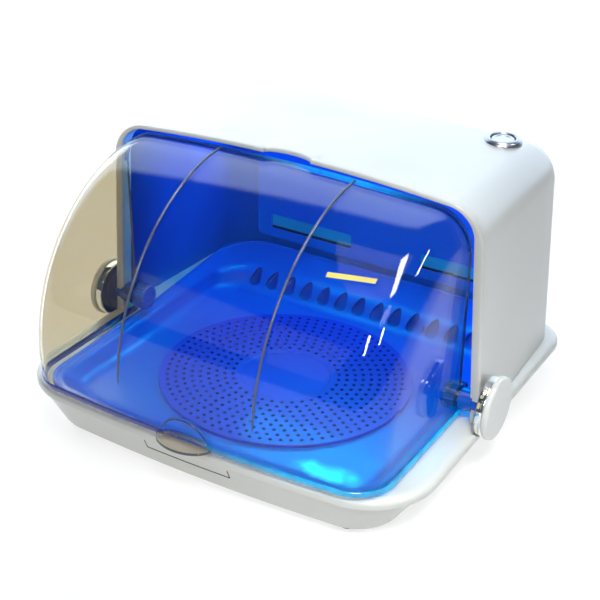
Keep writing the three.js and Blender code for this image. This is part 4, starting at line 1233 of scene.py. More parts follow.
def visor_line(grow, z):
    """A line at one height round the visor from the rear of its right side to the left one."""
    side = VISOR_HALF + grow
    corner_y = visor_wall(VISOR_HALF, z)
    right = [(side, along(3.2, corner_y, i / 10)) for i in range(10)]
    front = [(x, visor_wall(x, z, grow)) for x in visor_stations(grow)]
    left = [(-x, y) for x, y in reversed(right)]
    return [place(x, y, z) for x, y in right + front + left]


def make_bead():
    profile = [(-2.75, 3.25), (-2.5, 3.0), (0.7, 3.0), (1.1, 3.2), (1.2, 3.7), (1.2, 6.9), (0.95, 7.6),
               (0.4, 7.95), (-0.4, 8.0), (-0.4, 5.0), (-2.75, 4.6)]
    lines = [visor_line(grow, z) for grow, z in profile]
    rings = [list(ring) for ring in zip(*lines)]
    vertices, faces = skin(rings, cap_first=True, cap_last=True)
    return piece("visor_bead", vertices, faces, "visor", [bead_glow], sharp=40)


def make_scoop_line():
    """The rounded upper edge of the scoop, as a thin raised line that glows as a painted highlight."""
    rings = []
    for i in range(LINE_STEPS + 1):
        turn = along(0.12, 2 * QUARTER - 0.12, i / LINE_STEPS)
        taper = clamp(min(i, LINE_STEPS - i) / 4 + 0.15)
        ring = []
        for j in range(LINE_SIDES):
            roll = 4 * QUARTER * j / LINE_SIDES
            grow = LINE_ROUND * taper * math.cos(roll)
            x = (LINE_HALF + grow) * math.cos(turn)
            z = SCOOP_Z + (LINE_HIGH + grow) * math.sin(turn)
            ring.append(place(x, visor_wall(x, z) - 0.1 - 0.5 * taper * math.sin(roll), z))
        rings.append(ring)
    return piece("visor_scoop_line", *skin(rings, cap_first=True, cap_last=True), "visor", [bead_glow],
                 sharp=60)


bead = make_bead()
scoop_line = make_scoop_line()
print("bead and scoop line:", [len(made.data.polygons) for made in (bead, scoop_line)])

# %% [markdown]
# ### Ribs
#
# Two thin ribs run down over the front. Each is a row of small ellipses along the sheet's arc. The
# last few of them shrink, so that the lower end runs out softly instead of being cut off square.

# %% Ribs
RIB_X, RIB_HALF, RIB_PROUD, RIB_STEPS, RIB_SIDES = 63, 1.15, 0.95, 72, 12


def make_rib(side):
    rings = []
    for i in range(RIB_STEPS + 1):
        angle = along(0.06, QUARTER * 0.995, i / RIB_STEPS)
        taper = clamp((RIB_STEPS - i) / 5) ** 0.5
        radius = visor_radius(side * RIB_X)
        ring = []
        for j in range(RIB_SIDES):
            turn = 4 * QUARTER * j / RIB_SIDES
            across, out = RIB_HALF * taper * math.cos(turn), RIB_PROUD * taper * math.sin(turn)
            ring.append(place(side * RIB_X + across, VISOR_Y - (radius + out) * math.sin(angle),
                              VISOR_Z + (radius + out) * math.cos(angle)))
        rings.append(ring)
    name = "visor_rib_right" if side > 0 else "visor_rib_left"
    # The ribs are moulded in the clear sheet; their dark grey is painted shade.
    return piece(name, *skin(rings, cap_first=True, cap_last=True), "visor", [rib_shade_grey], sharp=60)


ribs = [make_rib(1), make_rib(-1)]
print("ribs:", [len(made.data.polygons) for made in ribs])

# %% [markdown]
# ### Lip
#
# The lip is the half-round tongue that a finger lifts. Its inner edge follows the bead and its
# outer edge is part of an ellipse, so each ring runs along the top from one to the other and closes
# underneath. The edge of the clear lip looks dark beside its face, so a few faces of each ring take
# a dark grey, painted shade.

# %% Lip
LIP_HALF, LIP_REACH, LIP_STEPS, LIP_SAG = 26, 18, 40, 0.5
LIP_PROFILE_POINTS, LIP_SHADE_FACES = 10, (5, 6, 7)


def make_lip():
    rings = []
    for i in range(LIP_STEPS + 1):
        turn = along(0.05, 2 * QUARTER - 0.05, i / LIP_STEPS)
        x = LIP_HALF * math.cos(turn)
        inner = visor_wall(x, 4.5, 1.2) - 0.3
        outer = min(-BASE_FRONT - LIP_REACH * math.sin(turn), inner - 0.25)
        sag = LIP_SAG * math.sin(turn)
        rings.append([place(x, y, z) for y, z in (
            (inner, 3.3), (inner - 0.1, 6.0 - sag * 0.4),
            (along(inner, outer, 0.35), 6.0 - sag),
            (along(inner, outer, 0.8), 6.0 - sag * 0.6),
            (outer + min(0.7, (inner - outer) / 3), 6.0),
            (outer + min(0.2, (inner - outer) / 5), 5.8), (outer, 5.2), (outer, 3.9),
            (outer + min(0.3, (inner - outer) / 4), 3.3), (outer + min(1.0, (inner - outer) / 3), 3.0))])

    def on_edge(index):
        side_face = index < LIP_STEPS * LIP_PROFILE_POINTS
        return 1 if side_face and index % LIP_PROFILE_POINTS in LIP_SHADE_FACES else 0

    return piece("visor_lip", *skin(rings, cap_first=True, cap_last=True), "visor",
                 [lip_tint, lip_edge_shade], ["visor_lip"], sharp=40,
                 chosen=lambda index, centre: on_edge(index))


lip = make_lip()
print("lip faces:", len(lip.data.polygons))

# %% [markdown]
# ## Hinge
#
# On each side a steel pin passes a bushing in the hood. A grooved nut holds the visor's ear on it
# inside, and outside a chrome hub with a slightly domed white cap turns with the visor. All of
# these are round, so each is a profile of radius and distance, turned round the hinge's own axis as
# on a lathe.
#
# `rounded` breaks the profile's corners, because a real edge is never quite sharp and a chromed one
# shows that as a thin bright line. The grips are not cut: `grooved` pushes the rim's points inwards
# in waves, which is lighter than a boolean and leaves clean faces.

# %% Hinge helpers
PIN_RADIUS, NUT_RADIUS, NUT_FACE, HUB_BORE, HUB_END = 5, 12, 162.2, 6, 193
CHROME_FROM, RECESS_FROM, CAP_FACE = 24.4, 17.6, 193.3
FAR_OUT = 99


def rounded(points, radius, steps=4):
    """A profile with its inner corners rounded; the first and last points stay."""
    result = [points[0]]
    for before, corner, after in zip(points, points[1:], points[2:]):
        a, b, c = Vector(before), Vector(corner), Vector(after)
        reach = min(radius, (a - b).length * 0.45, (c - b).length * 0.45)
        start = b + (a - b).normalized() * reach
        end = b + (c - b).normalized() * reach
        for i in range(steps + 1):
            share = i / steps
            point = start * (1 - share) ** 2 + b * 2 * share * (1 - share) + end * share**2
            result.append(tuple(point))
    result.append(points[-1])
    return result


def at_pivot(side, x):
    return place(side * x, PIVOT_Y, PIVOT_Z)


def grooved(vertices, centre, count, depth, least, most=FAR_OUT):
    """Shallow grooves along the axis round the rim of a turned piece about X."""
    result = []
    for v in vertices:
        out = Vector((0, v.y - centre.y, v.z - centre.z))
        if least * MM < out.length < most * MM:
            wave = 0.5 + 0.5 * math.cos(count * math.atan2(out.z, out.y))
            out *= 1 - depth * MM * wave**2 / out.length
        result.append(Vector((v.x, centre.y + out.y, centre.z + out.z)))
    return result


print("a rounded corner adds", len(rounded([(0, 0), (9, 0), (9, 9)], 1)) - 3, "points to a profile")

# %% [markdown]
# ### Parts of the hinge
#
# The left and right sets are alike, so one function makes both from the side's sign. The hub has
# two finishes, a dark face within a chrome rim, and they are told apart by their distance from the
# axis.

# %% Hinge


def make_hinge(side):
    name = "right" if side > 0 else "left"
    axis = (side, 0, 0)
    centre = at_pivot(side, 0)
    hub = rounded([
        (HUB_BORE, HUB_FACE), (17, HUB_FACE), (17.4, 186.5), (24.6, 186.7), (HUB_RADIUS, 187.4),
        (HUB_RADIUS, HUB_END), (HUB_BORE, HUB_END)], 0.5)

    def hub_finish(point):
        reach = math.hypot(point.y - centre.y, point.z - centre.z) / MM
        return (reach > RECESS_FROM) + (reach > CHROME_FROM)

    vertices, faces = turned(hub, centre, axis, 144)
    made = [piece("hub_" + name, grooved(vertices, centre, 36, 0.6, 16.2, 18), faces, "visor",
                  [dark_plastic, dark_plastic, chrome], ["hub_" + name], sharp=40,
                  chosen=lambda index, point: hub_finish(point))]
    cap = rounded([
        (0, CAP_FACE), (26.2, CAP_FACE), (27, 194.3), (27, 197.6), (25.6, 199.0), (14, 199.25), (0, 199.3)],
        1.4, 6)
    made.append(piece("knob_cap_" + name, *turned(cap, centre, axis, 128), "visor", [cap_white],
                      ["knob_cap_" + name], sharp=40))
    nut = rounded([
        (5.3, NUT_FACE), (NUT_RADIUS, NUT_FACE), (NUT_RADIUS, 152.4), (10.6, 150.3), (6.6, 150.2),
        (6.2, 151.0), (5.3, 151.1)], 0.7)
    vertices, faces = turned(nut, centre, axis, 144)
    made.append(piece("pivot_nut_" + name, grooved(vertices, centre, 24, 0.9, 9.5), faces, "visor",
                      [nut_blue], ["pivot_nut_" + name], sharp=40))
    pin = rounded([(0, 151.2), (4.4, 151.2), (PIN_RADIUS, 151.9), (PIN_RADIUS, HUB_END), (0, HUB_END)], 0.4)
    made.append(piece("pivot_pin_" + name, *turned(pin, centre, axis, 64), "visor", [steel],
                      ["pivot_pin_" + name], sharp=40))
    return made


hinge = make_hinge(1) + make_hinge(-1)
print("hinge pieces:", len(hinge))

# %% [markdown]
# ## Push button
#
# A metal bezel stands on the right of the roof. The button sits in it, with a shallow dish in its
# top that guides the finger. Both are turned. Their heights are read from the solids' boxes,
# because the roof falls and is crowned, so its height at this spot is awkward to work out again.
# The button is a piece of its own on its own body, so that it can be pressed.

# %% Push button
BEZEL_BORE, BEZEL_NECK, BEZEL_RADIUS, BUTTON_RADIUS = 10.85, 12.4, 16.8, 10.5
bezel_low, bezel_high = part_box("power_bezel")
button_low, button_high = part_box("power_button")
BUTTON_X = (bezel_low.x + bezel_high.x) / 2 / MM
BUTTON_Y = (bezel_low.y + bezel_high.y) / 2 / MM - FRONT_Y
bezel_top = bezel_high.z / MM - SHELF_Z
button_top = button_high.z / MM - SHELF_Z
bezel_profile = rounded([
    (BEZEL_BORE, bezel_top - 9), (BEZEL_NECK, bezel_top - 9), (BEZEL_NECK, bezel_top - 5),
    (BEZEL_RADIUS, bezel_top - 5), (BEZEL_RADIUS, bezel_top - 3.6), (15.6, bezel_top - 1.5),
    (13.4, bezel_top), (11.6, bezel_top - 0.2), (BEZEL_BORE, bezel_top - 1.4), (BEZEL_BORE, bezel_top - 9)],
    0.8, 5)
centre = place(BUTTON_X, BUTTON_Y, 0)
bezel = piece("power_bezel_ring", *turned(bezel_profile, centre, (0, 0, 1), 128), "base", [bezel_metal],
              ["power_bezel"], sharp=50)
button_base = button_low.z / MM - SHELF_Z
button_profile = rounded([
    (0, button_base), (10.2, button_base), (BUTTON_RADIUS, button_top - 1.6), (9.9, button_top - 0.3),
    (8.6, button_top), (7.6, button_top - 0.15), (6.9, button_top - 0.75), (3.0, button_top - 1.0),
    (0, button_top - 1.05)], 0.5, 5)
button = piece("power_button_top", *turned(button_profile, centre, (0, 0, 1), 96), "button", [button_metal],
               ["power_button"], sharp=50)
print("bezel and button faces:", len(bezel.data.polygons), len(button.data.polygons))
print("button at", round(BUTTON_X, 1), round(BUTTON_Y, 1), "top", round(button_top, 2))

# %% [markdown]
# ## Lamp tube
#
# The lamp is a glass tube with metal caps. It could be left out, since the photograph hides it, but
# it shows as soon as the visor is up. The tube and its caps are turned about a level axis that is
# read from the solid's box.

# %% Lamp tube
LAMP_HALF, LAMP_RADIUS, LAMP_END = 135, 8, 144
lamp_low, lamp_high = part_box("lamp_tube")
LAMP_Y = (lamp_low.y + lamp_high.y) / 2 / MM - FRONT_Y
LAMP_Z = (lamp_low.z + lamp_high.z) / 2 / MM - SHELF_Z
piece(
    "lamp_tube_glass",
    *turned(rounded([(0, -LAMP_HALF), (7.2, -LAMP_HALF), (LAMP_RADIUS, -133.6), (LAMP_RADIUS, 133.6),
                     (7.2, LAMP_HALF), (0, LAMP_HALF)], 1.0),
            place(0, LAMP_Y, LAMP_Z), (1, 0, 0), 48), "base", [lamp_glass], ["lamp_tube"], sharp=50)
for side, name in ((1, "right"), (-1, "left")):
    profile = rounded([
        (0, 135.3), (8.2, 135.3), (8.6, 136.2), (8.6, 142.8), (8.0, LAMP_END), (0, LAMP_END)], 0.5)
    piece("lamp_end_" + name, *turned(profile, place(0, LAMP_Y, LAMP_Z), (side, 0, 0), 48), "base",
          [sheet_metal], ["lamp_cap_" + name], sharp=50)

print("lamp axis at y", round(LAMP_Y, 1), "and z", round(LAMP_Z, 1))

# %% [markdown]
# ### Lamp holders
#
# Two moulded blocks hold the lamp. A moulded block has edges of about 1 to 2 mm radius, and here
# the Bevel modifier is the right tool, because all edges are alike. The seat for the cap is a bore
# with an open mouth towards the front, so that the lamp can be pushed in.

# %% Lamp holders
SOCKET_BORE, SOCKET_DEPTH, SOCKET_OVERRUN, SOCKET_HALF = 8.9, 4.8, 4, 8.6


def softened(name, low, high, radius, body, material, replaces=()):
    """A moulded block with rounded edges."""
    made = piece(name, *block(low, high), body, [material], replaces)
    edge = made.modifiers.new("edge", "BEVEL")
    edge.width = radius * MM
    edge.segments = 4
    apply_modifiers(made)
    return made


for side, name in ((1, "right"), (-1, "left")):
    low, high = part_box("lamp_holder_" + name)
    low = (low.x / MM, low.y / MM - FRONT_Y, low.z / MM - SHELF_Z)
    high = (high.x / MM, high.y / MM - FRONT_Y, high.z / MM - SHELF_Z)
    holder = softened("lamp_socket_" + name, low, high, 1.8, "base", pale_plastic, ["lamp_holder_" + name])
    inner = low[0] if side > 0 else high[0]
    bore_profile = [(SOCKET_BORE, -SOCKET_OVERRUN), (SOCKET_BORE, SOCKET_DEPTH)]
    bore = cutter_from("bore", *turned(bore_profile, place(inner, LAMP_Y, LAMP_Z), (side, 0, 0), 48))
    ends = sorted((inner - side * SOCKET_OVERRUN, inner + side * SOCKET_DEPTH))
    mouth = cutter_from("mouth", *block(
        (ends[0], low[1] - SOCKET_OVERRUN, LAMP_Z - SOCKET_HALF),
        (ends[1], LAMP_Y - SOCKET_OVERRUN, LAMP_Z + SOCKET_HALF)))
    carve(holder, [bore, mouth])
    print("holder", name, "has", len(holder.data.polygons), "faces")

# %% [markdown]
# ### Reflector
#
# The reflector is one bent sheet: a trough over and behind the lamp, a flat run to the back and a
# flange to hold it. Like the visor it is drawn as a surface from its side view and gets its 1 mm
# thickness from Solidify.

# %% Reflector
TROUGH_RADIUS, TROUGH_HALF, FLANGE_HALF = 17, 149, 133


def make_reflector():
    path = []
    for i in range(33):
        angle = along(QUARTER * 1.1, -QUARTER * 0.62, i / 32)
        y, z = LAMP_Y + TROUGH_RADIUS * math.cos(angle), LAMP_Z + TROUGH_RADIUS * math.sin(angle)
        path.append((y, z, TROUGH_HALF))
    floor = path[-1][1]
    path.append((along(path[-1][0], 196.2, 0.5), floor, (TROUGH_HALF + FLANGE_HALF) / 2))
    path += [(194.6, floor, FLANGE_HALF), (195.7, floor + 0.3, FLANGE_HALF),
             (196.2, floor + 1.4, FLANGE_HALF), (196.2, floor + 12, FLANGE_HALF)]
    shares = [0, 0.004, 0.012] + [i / 24 for i in range(1, 24)] + [0.988, 0.996, 1]
    vertices, faces = skin([[place(along(-half, half, s), y, z) for s in shares] for y, z, half in path],
                           closed_ring=False)
    made = piece("reflector_sheet", vertices, faces, "base", [panel_blue], ["reflector"], sharp=35)
    thick = made.modifiers.new("thick", "SOLIDIFY")
    thick.thickness = 1.0 * MM
    thick.offset = 1.0
    apply_modifiers(made, 35)
    return made


reflector = make_reflector()
print("reflector faces:", len(reflector.data.polygons))

# %% [markdown]
# ## Back panel
#
# The blue panel at the back of the chamber has two long slots, through which air can leave. Behind
# each slot lies a paler duct, whose lower edge is a sill that glows as a painted highlight. The panel
# stands upright, so the same plate function is used and only the order of its coordinates changes.

# %% Back panel
SCREW_X, SCREW_LOW, SCREW_HIGH, SCREW_BORE, SCREW_SIDES = 122, 61, 112, 2.3, 20
SLOT_X, SLOT_Z, SLOT_HALF, SLOT_HIGH = 84, 33.5, 46, 7.5
screw_spots = [(sx * SCREW_X, z) for sx in (1, -1) for z in (SCREW_LOW, SCREW_HIGH)]
screw_holes = [circle(x, z, SCREW_BORE, SCREW_SIDES) for x, z in screw_spots]
panel_outer = pill(0, 67.5, 146, 51.5, 6)
slots = [pill(sx * SLOT_X, SLOT_Z, SLOT_HALF, SLOT_HIGH, 2.2) for sx in (1, -1)]


def upright(x, z, y):
    """A point of a plate that stands at the back."""
    return place(x, y, z)


panel = piece("back_panel_sheet", *pierced(panel_outer, slots + screw_holes, 191, 189, 0.35, upright),
              "base", [panel_blue], ["back_panel"])
for side, name in ((1, "right"), (-1, "left")):
    x, duct, sill = side * SLOT_X, SLOT_HALF + 0.5, SLOT_HALF - 0.5
    softened("slot_duct_" + name, (x - duct, 191.6, 24), (x + duct, 193.2, 42), 0.6, "base", slot_teal)
    # Painted highlight: each sill glows along its duct's lower edge.
    softened("slot_sill_" + name, (x - sill, 189.6, 25.9), (x + sill, 191.4, 28.2), 0.5, "base", sill_glow)
print("back panel faces:", len(panel.data.polygons))

# %% [markdown]
# ## Rear cover
#
# A louvred cover closes the window in the hood's back and lets the lamp's warmth out. The
# photograph doesn't show it, so it is kept plain: five rows of narrow slots, evenly spaced between
# its margins. The same four screws hold the cover and the panel, so both take their holes from the
# same list.

# %% Rear cover
COVER_LOW, COVER_HIGH, COVER_MARGIN, LOUVRE_ROWS, LOUVRE_X, LOUVRE_HALF = 52, 121, 9, 5, 49, 43
pitch = (COVER_HIGH - COVER_LOW - 2 * COVER_MARGIN) / LOUVRE_ROWS
louvres = []
for row in range(LOUVRE_ROWS):
    for side in (1, -1):
        z = COVER_LOW + COVER_MARGIN + pitch * (row + 0.5)
        louvres.append(pill(side * LOUVRE_X, z, LOUVRE_HALF, 1.8, 1.7))
cover_low, cover_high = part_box("rear_cover")
cover_outer = pill(0, (cover_low.z + cover_high.z) / 2 / MM - SHELF_Z, (cover_high.x - cover_low.x) / 2 / MM,
                   (cover_high.z - cover_low.z) / 2 / MM, 5)
cover = piece(
    "rear_cover_plate",
    *pierced(cover_outer, louvres + screw_holes, cover_high.y / MM - FRONT_Y, cover_low.y / MM - FRONT_Y,
             0.45, upright), "base", [grey_plastic], ["rear_cover"])
print("louvres:", len(louvres), "pitch", round(pitch, 2), "mm, faces", len(cover.data.polygons))

# %% [markdown]
# ## Screws
#
# Eight pan-head screws hold the bottom plate and the rear cover. A screw is turned from its head to
# the end of its shank, and a cross recess is cut with two crossed, tapered bars. The thread is left
# out, because it never shows. Each screw finds its place from the box of its own solid.

# %% Screws
CROSS_HALF_LENGTH, CROSS_HALF_WIDTH = 2.1, 0.42


def make_screw(name, node, axis):
    """A pan-head screw with a cross recess, at the place of a node."""
    low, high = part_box(node)
    middle = (low + high) / 2
    axis = Vector(axis)
    start = Vector(middle)
    for k in range(3):
        if axis[k]:
            start[k] = low[k] if axis[k] > 0 else high[k]
    profile = [(0, 0), (1.6, 0.05), (2.7, 0.45), (3.3, 1.05), (3.6, 1.9), (3.55, 2.3), (1.7, 2.35),
               (1.7, 7.5), (0, 8.5)]
    made = piece(name, *turned(rounded(profile, 0.3, 3), start, axis, 48), "base", [steel], [node], sharp=45)
    side = axis.orthogonal().normalized()
    other = axis.cross(side)
    for first, second in ((side, other), (other, side)):
        corners = []
        for depth, grow in ((-1.0, 1.0), (1.1, 0.6)):
            for a, b in ((-1, -1), (1, -1), (1, 1), (-1, 1)):
                offset = first * a * CROSS_HALF_LENGTH * grow + second * b * CROSS_HALF_WIDTH * grow
                corners.append(start + (offset + axis * depth) * MM)
        cross = cutter_from("cross", *skin([corners[:4], corners[4:]], cap_first=True, cap_last=True))
        carve(made, [cross], sharp=45)
    return made


for place_name in ("low_right", "high_right", "low_left", "high_left"):
    make_screw("cover_screw_" + place_name, "cover_screw_" + place_name, (0, -1, 0))
for place_name in ("front_right", "front_left", "rear_right", "rear_left"):
    make_screw("plate_screw_" + place_name, "plate_screw_" + place_name, (0, 0, 1))
print("screws made: 8")

# %% [markdown]
# ## Feet
#
# Four rubber feet keep the cabinet from sliding. Each is turned and a little waisted, with a stem
# that is pressed into the bottom plate, and takes its place from its own solid.

# %% Feet
FOOT_SOLE, STEM_RADIUS, STEM_TOP = -49, 3.4, -39.6
for place_name in ("front_right", "front_left", "rear_right", "rear_left"):
    low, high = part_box("foot_" + place_name)
    x, y = (low.x + high.x) / 2 / MM, (low.y + high.y) / 2 / MM - FRONT_Y
    foot_profile = rounded([
        (0, -48.4), (STEM_RADIUS, -48.5), (4.4, FOOT_SOLE), (6.4, FOOT_SOLE), (7.5, -48), (7.0, -45),
        (6.5, -43.3), (STEM_RADIUS, -43.3), (STEM_RADIUS, STEM_TOP), (0, STEM_TOP)], 0.6)
    piece("foot_pad_" + place_name, *turned(foot_profile, place(x, y, 0), (0, 0, 1), 64), "base", [rubber],
          ["foot_" + place_name], sharp=45)

print("feet made: 4")

# %% [markdown]
# ## Power inlet
#
# No cord shows in the photograph, so the cabinet gets a socket for a cord that is plugged in: a
# black block with a rounded mouth, cut 11 mm deep, and two pins that stand back from its face.

# %% Power inlet
MOUTH_HALF, MOUTH_HIGH, MOUTH_DEPTH, PIN_X = 9, 4.3, 11, 4.3
inlet_front, inlet_face = inlet_low.y / MM - FRONT_Y, inlet_high.y / MM - FRONT_Y
inlet = softened(
    "power_socket", (inlet_x - INLET_HALF, inlet_front, inlet_z - INLET_HIGH),
    (inlet_x + INLET_HALF, inlet_face, inlet_z + INLET_HIGH), 1.0, "base", dark_plastic, ["power_inlet"])
mouth_loop = pill(inlet_x, inlet_z, MOUTH_HALF, MOUTH_HIGH, 4.0, 8)(0)
mouth_rings = [[place(x, y, z) for x, z in mouth_loop] for y in (inlet_face - MOUTH_DEPTH, inlet_face + 2)]
carve(inlet, [cutter_from("mouth", *skin(mouth_rings, cap_first=True, cap_last=True))])
for side, name in ((1, "right"), (-1, "left")):
    profile = rounded([(0, -11.2), (1.2, -11.2), (1.2, -3.4), (0.7, -2.6), (0, -2.5)], 0.3)
    centre = place(inlet_x + side * PIN_X, inlet_face, inlet_z)
    piece("socket_pin_" + name, *turned(profile, centre, (0, 1, 0), 24), "base", [steel], sharp=45)
print("inlet faces:", len(inlet.data.polygons))

# %% [markdown]
# ## Strip and bracket
#
# A plain yellow strip lies on the visor, and a thin dark bracket line marks the middle of the
# base's front. They could be painted by a mask in the finish, but a mask has to be placed by
# numbers that say nothing about the surface under it, and its edge would be soft. As thin films of
# their own they keep a crisp edge, follow the curve that they lie on and can be left out with one
# line.

# %% Strip
STRIP_FROM, STRIP_TO, STRIP_ROWS, STRIP_COLUMNS, STRIP_LIFT = 90, 128, 6, 16, 0.12


def make_strip():
    """A thin film on the visor's front."""
    rows = []
    for i in range(STRIP_ROWS + 1):
        row = []
        for j in range(STRIP_COLUMNS + 1):
            x = along(STRIP_FROM, STRIP_TO, j / STRIP_COLUMNS)
            angle = along(0.682, 0.64, j / STRIP_COLUMNS) + 0.028 * i / STRIP_ROWS
            radius = visor_radius(x) + STRIP_LIFT
            row.append(place(x, VISOR_Y - radius * math.sin(angle), VISOR_Z + radius * math.cos(angle)))
        rows.append(row)
    made = piece("visor_strip", *skin(rows, closed_ring=False), "visor", [strip_yellow])
    thick = made.modifiers.new("thick", "SOLIDIFY")
    thick.thickness = 0.1 * MM
    apply_modifiers(made)
    return made


strip = make_strip()
print("strip faces:", len(strip.data.polygons))

# %% [markdown]
# ### Bracket
#
# The bracket is one bent line: down, along and up again. The skirt leans and bows, so `base_front`
# gives the skirt's own face at a place, and the line follows it, about a tenth of a millimetre
# proud.

# %% Bracket
BRACKET_LEFT, BRACKET_RIGHT, BRACKET_TOP, BRACKET_FOOT = -43, 37, -13, -21.6


def base_front(x, z, out):
    """A point on the skirt's front, a little proud of it."""
    share = clamp((SKIRT_Z[0] - z) / (SKIRT_Z[0] - SKIRT_Z[1]))
    side, front = along(*SKIRT_SIDE, share), along(*SKIRT_FRONT, share)
    reach = BASE_HALF - side - (FRONT_ROUND - (side + front) / 2)
    y = front - BASE_FRONT + FRONT_BOW * (x / reach) ** 2
    return place(x, y - out, z)


def make_bracket():
    path = [(BRACKET_LEFT, BRACKET_TOP), (BRACKET_LEFT, -21)]
    path += [(x, BRACKET_FOOT) for x in range(BRACKET_LEFT + 1, BRACKET_RIGHT, 3)]
    path += [(BRACKET_RIGHT, -21), (BRACKET_RIGHT, BRACKET_TOP)]
    rings = []
    for x, z in path:
        rings.append([base_front(x + dx, z + dz, out) for dx, dz, out in (
            (-0.5, 1.0, -0.05), (0.5, 1.0, -0.05), (0.5, -1.0, 0.12), (-0.5, -1.0, 0.12))])
    return piece("bracket_line", *skin(rings, cap_first=True, cap_last=True), "base", [ink])


bracket = make_bracket()
print("bracket faces:", len(bracket.data.polygons))

# %% [markdown]
# ## Solids that stay as they are
#
# The bushings, switches, ballast and terminal block hardly ever show. Dressing them would cost time
# and triangles and change nothing that can be seen, so they keep their plain solids and only take a
# finish from the list above.

# %% Finishes of the solids
finishes = {
    "bushing_right": nut_blue, "bushing_left": nut_blue,
    "interlock_magnet": steel, "interlock_switch": dark_plastic,
    "power_switch": dark_plastic, "ballast": steel, "terminal_block": pale_plastic,
}
for name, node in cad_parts.items():
    if name in finishes and node.type == "MESH":
        for slot in node.material_slots:
            slot.material = finishes[name]
print("solids with a finish:", len(finishes))

# %% [markdown]
# ## Floor
#
# The cabinet stands on a plain pale floor. A white background could come from strong lamps, but
# they would burn out the white hood as well. Instead the floor glows: to rays that come straight
# from the camera, through the visor or off chrome it shows bright, while to all other rays it gives
# off much less, so it lights the cabinet only a little from below. The cabinet's own shadow still
# falls on it.

# %% Floor
FLOOR_SIZE = 6.0
FLOOR_SEEN, FLOOR_UNSEEN = (0.7, 0.7, 0.7, 1.0), (0.25, 0.25, 0.25, 1.0)


def make_floor():
    material, point, shader = new_material("floor")
    speckle = noise(point, 120.0, 2.0)
    point.feed(shader.inputs["Roughness"], speckle * 0.1 + 0.7)
    tone = noise(point, 3.0, 2.0).mix((0.40, 0.40, 0.40, 1.0), (0.44, 0.44, 0.44, 1.0))
    point.feed(shader.inputs["Base Color"], tone)
    path = point.tree.nodes.new("ShaderNodeLightPath")
    camera_ray = Shade(point.tree, path.outputs["Is Camera Ray"])
    seen = camera_ray.math("MAXIMUM", camera_ray, Shade(point.tree, path.outputs["Is Transmission Ray"]))
    seen = seen.math("MAXIMUM", seen, Shade(point.tree, path.outputs["Is Glossy Ray"]))
    point.feed(shader.inputs["Emission Color"], seen.mix(FLOOR_UNSEEN, FLOOR_SEEN))
    set_inputs(shader, {"Emission Strength": 1.0})
    mesh = bpy.data.meshes.new("floor")
    size = FLOOR_SIZE
    corners = [(-size, -size, 0), (size, -size, 0), (size, size, 0), (-size, size, 0)]
    mesh.from_pydata(corners, [], [(0, 1, 2, 3)])
    mesh.materials.append(material)
    floor = bpy.data.objects.new("floor", mesh)
    bpy.context.scene.collection.objects.link(floor)
    floor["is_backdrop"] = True
    return floor


floor = make_floor()
print("floor:", 2 * FLOOR_SIZE, "m wide")

# %% [markdown]
# ## Camera
#
# The camera stands where the photograph was taken from, worked out from the photograph's straight
# edges and circles. Its focal length is written in the photograph's own pixels, and the sensor's
# width turns that into millimetres. Three angles turn it: yaw and pitch aim it, and roll tips it by
# two degrees, as a camera held in the hand is.

# %% Camera
FOCAL_PIXELS, PHOTO_PIXELS, SENSOR_WIDTH = 1324.26, 600, 36.0
CAMERA_PLACE, CAMERA_YAW, CAMERA_PITCH, CAMERA_ROLL = (0.5019, -0.8879, 0.6401), 0.512, 0.484, 0.037


def make_camera():
    data = bpy.data.cameras.new("camera")
    data.sensor_width = SENSOR_WIDTH
    data.sensor_fit = "HORIZONTAL"
    data.lens = FOCAL_PIXELS / PHOTO_PIXELS * SENSOR_WIDTH
    camera = bpy.data.objects.new("camera", data)
    bpy.context.scene.collection.objects.link(camera)
    yaw, pitch, roll = CAMERA_YAW, CAMERA_PITCH, CAMERA_ROLL
    forward = Vector((-math.sin(yaw) * math.cos(pitch), math.cos(yaw) * math.cos(pitch), -math.sin(pitch)))
    right = Vector((math.cos(yaw), math.sin(yaw), 0))
    up = right.cross(forward)
    turned_right = right * math.cos(roll) + up * math.sin(roll)
    turned_up = up * math.cos(roll) - right * math.sin(roll)
    turn = Matrix((turned_right, turned_up, -forward)).transposed().to_4x4()
    camera.matrix_world = Matrix.Translation(CAMERA_PLACE) @ turn
    bpy.context.scene.camera = camera
    return camera


camera = make_camera()
print("focal length", round(camera.data.lens, 2), "mm")

# %% [markdown]
# ## World
#
# The world plays three parts. Seen directly or through the visor it is plain white, for the
# background. To matt surfaces it is a dim sky, brighter overhead, which fills the shadows. In a
# mirror-like surface it is a dark room with one bright wall, because a glossy visor in an evenly
# white room would look like fog. The wall's edge gives the visor the clear border of its broad
# reflection.

# %% World
SKY_LOW, SKY_HIGH = (0.12, 0.12, 0.125, 1.0), (0.36, 0.37, 0.38, 1.0)
ROOM_DARK, ROOM_WALL = (0.11, 0.15, 0.19, 1.0), (3.5, 4.4, 5.4, 1.0)
WALL_SLANT, WALL_FROM, WALL_TO, WORLD_STRENGTH = 0.55, 0.57, 0.64, 0.8


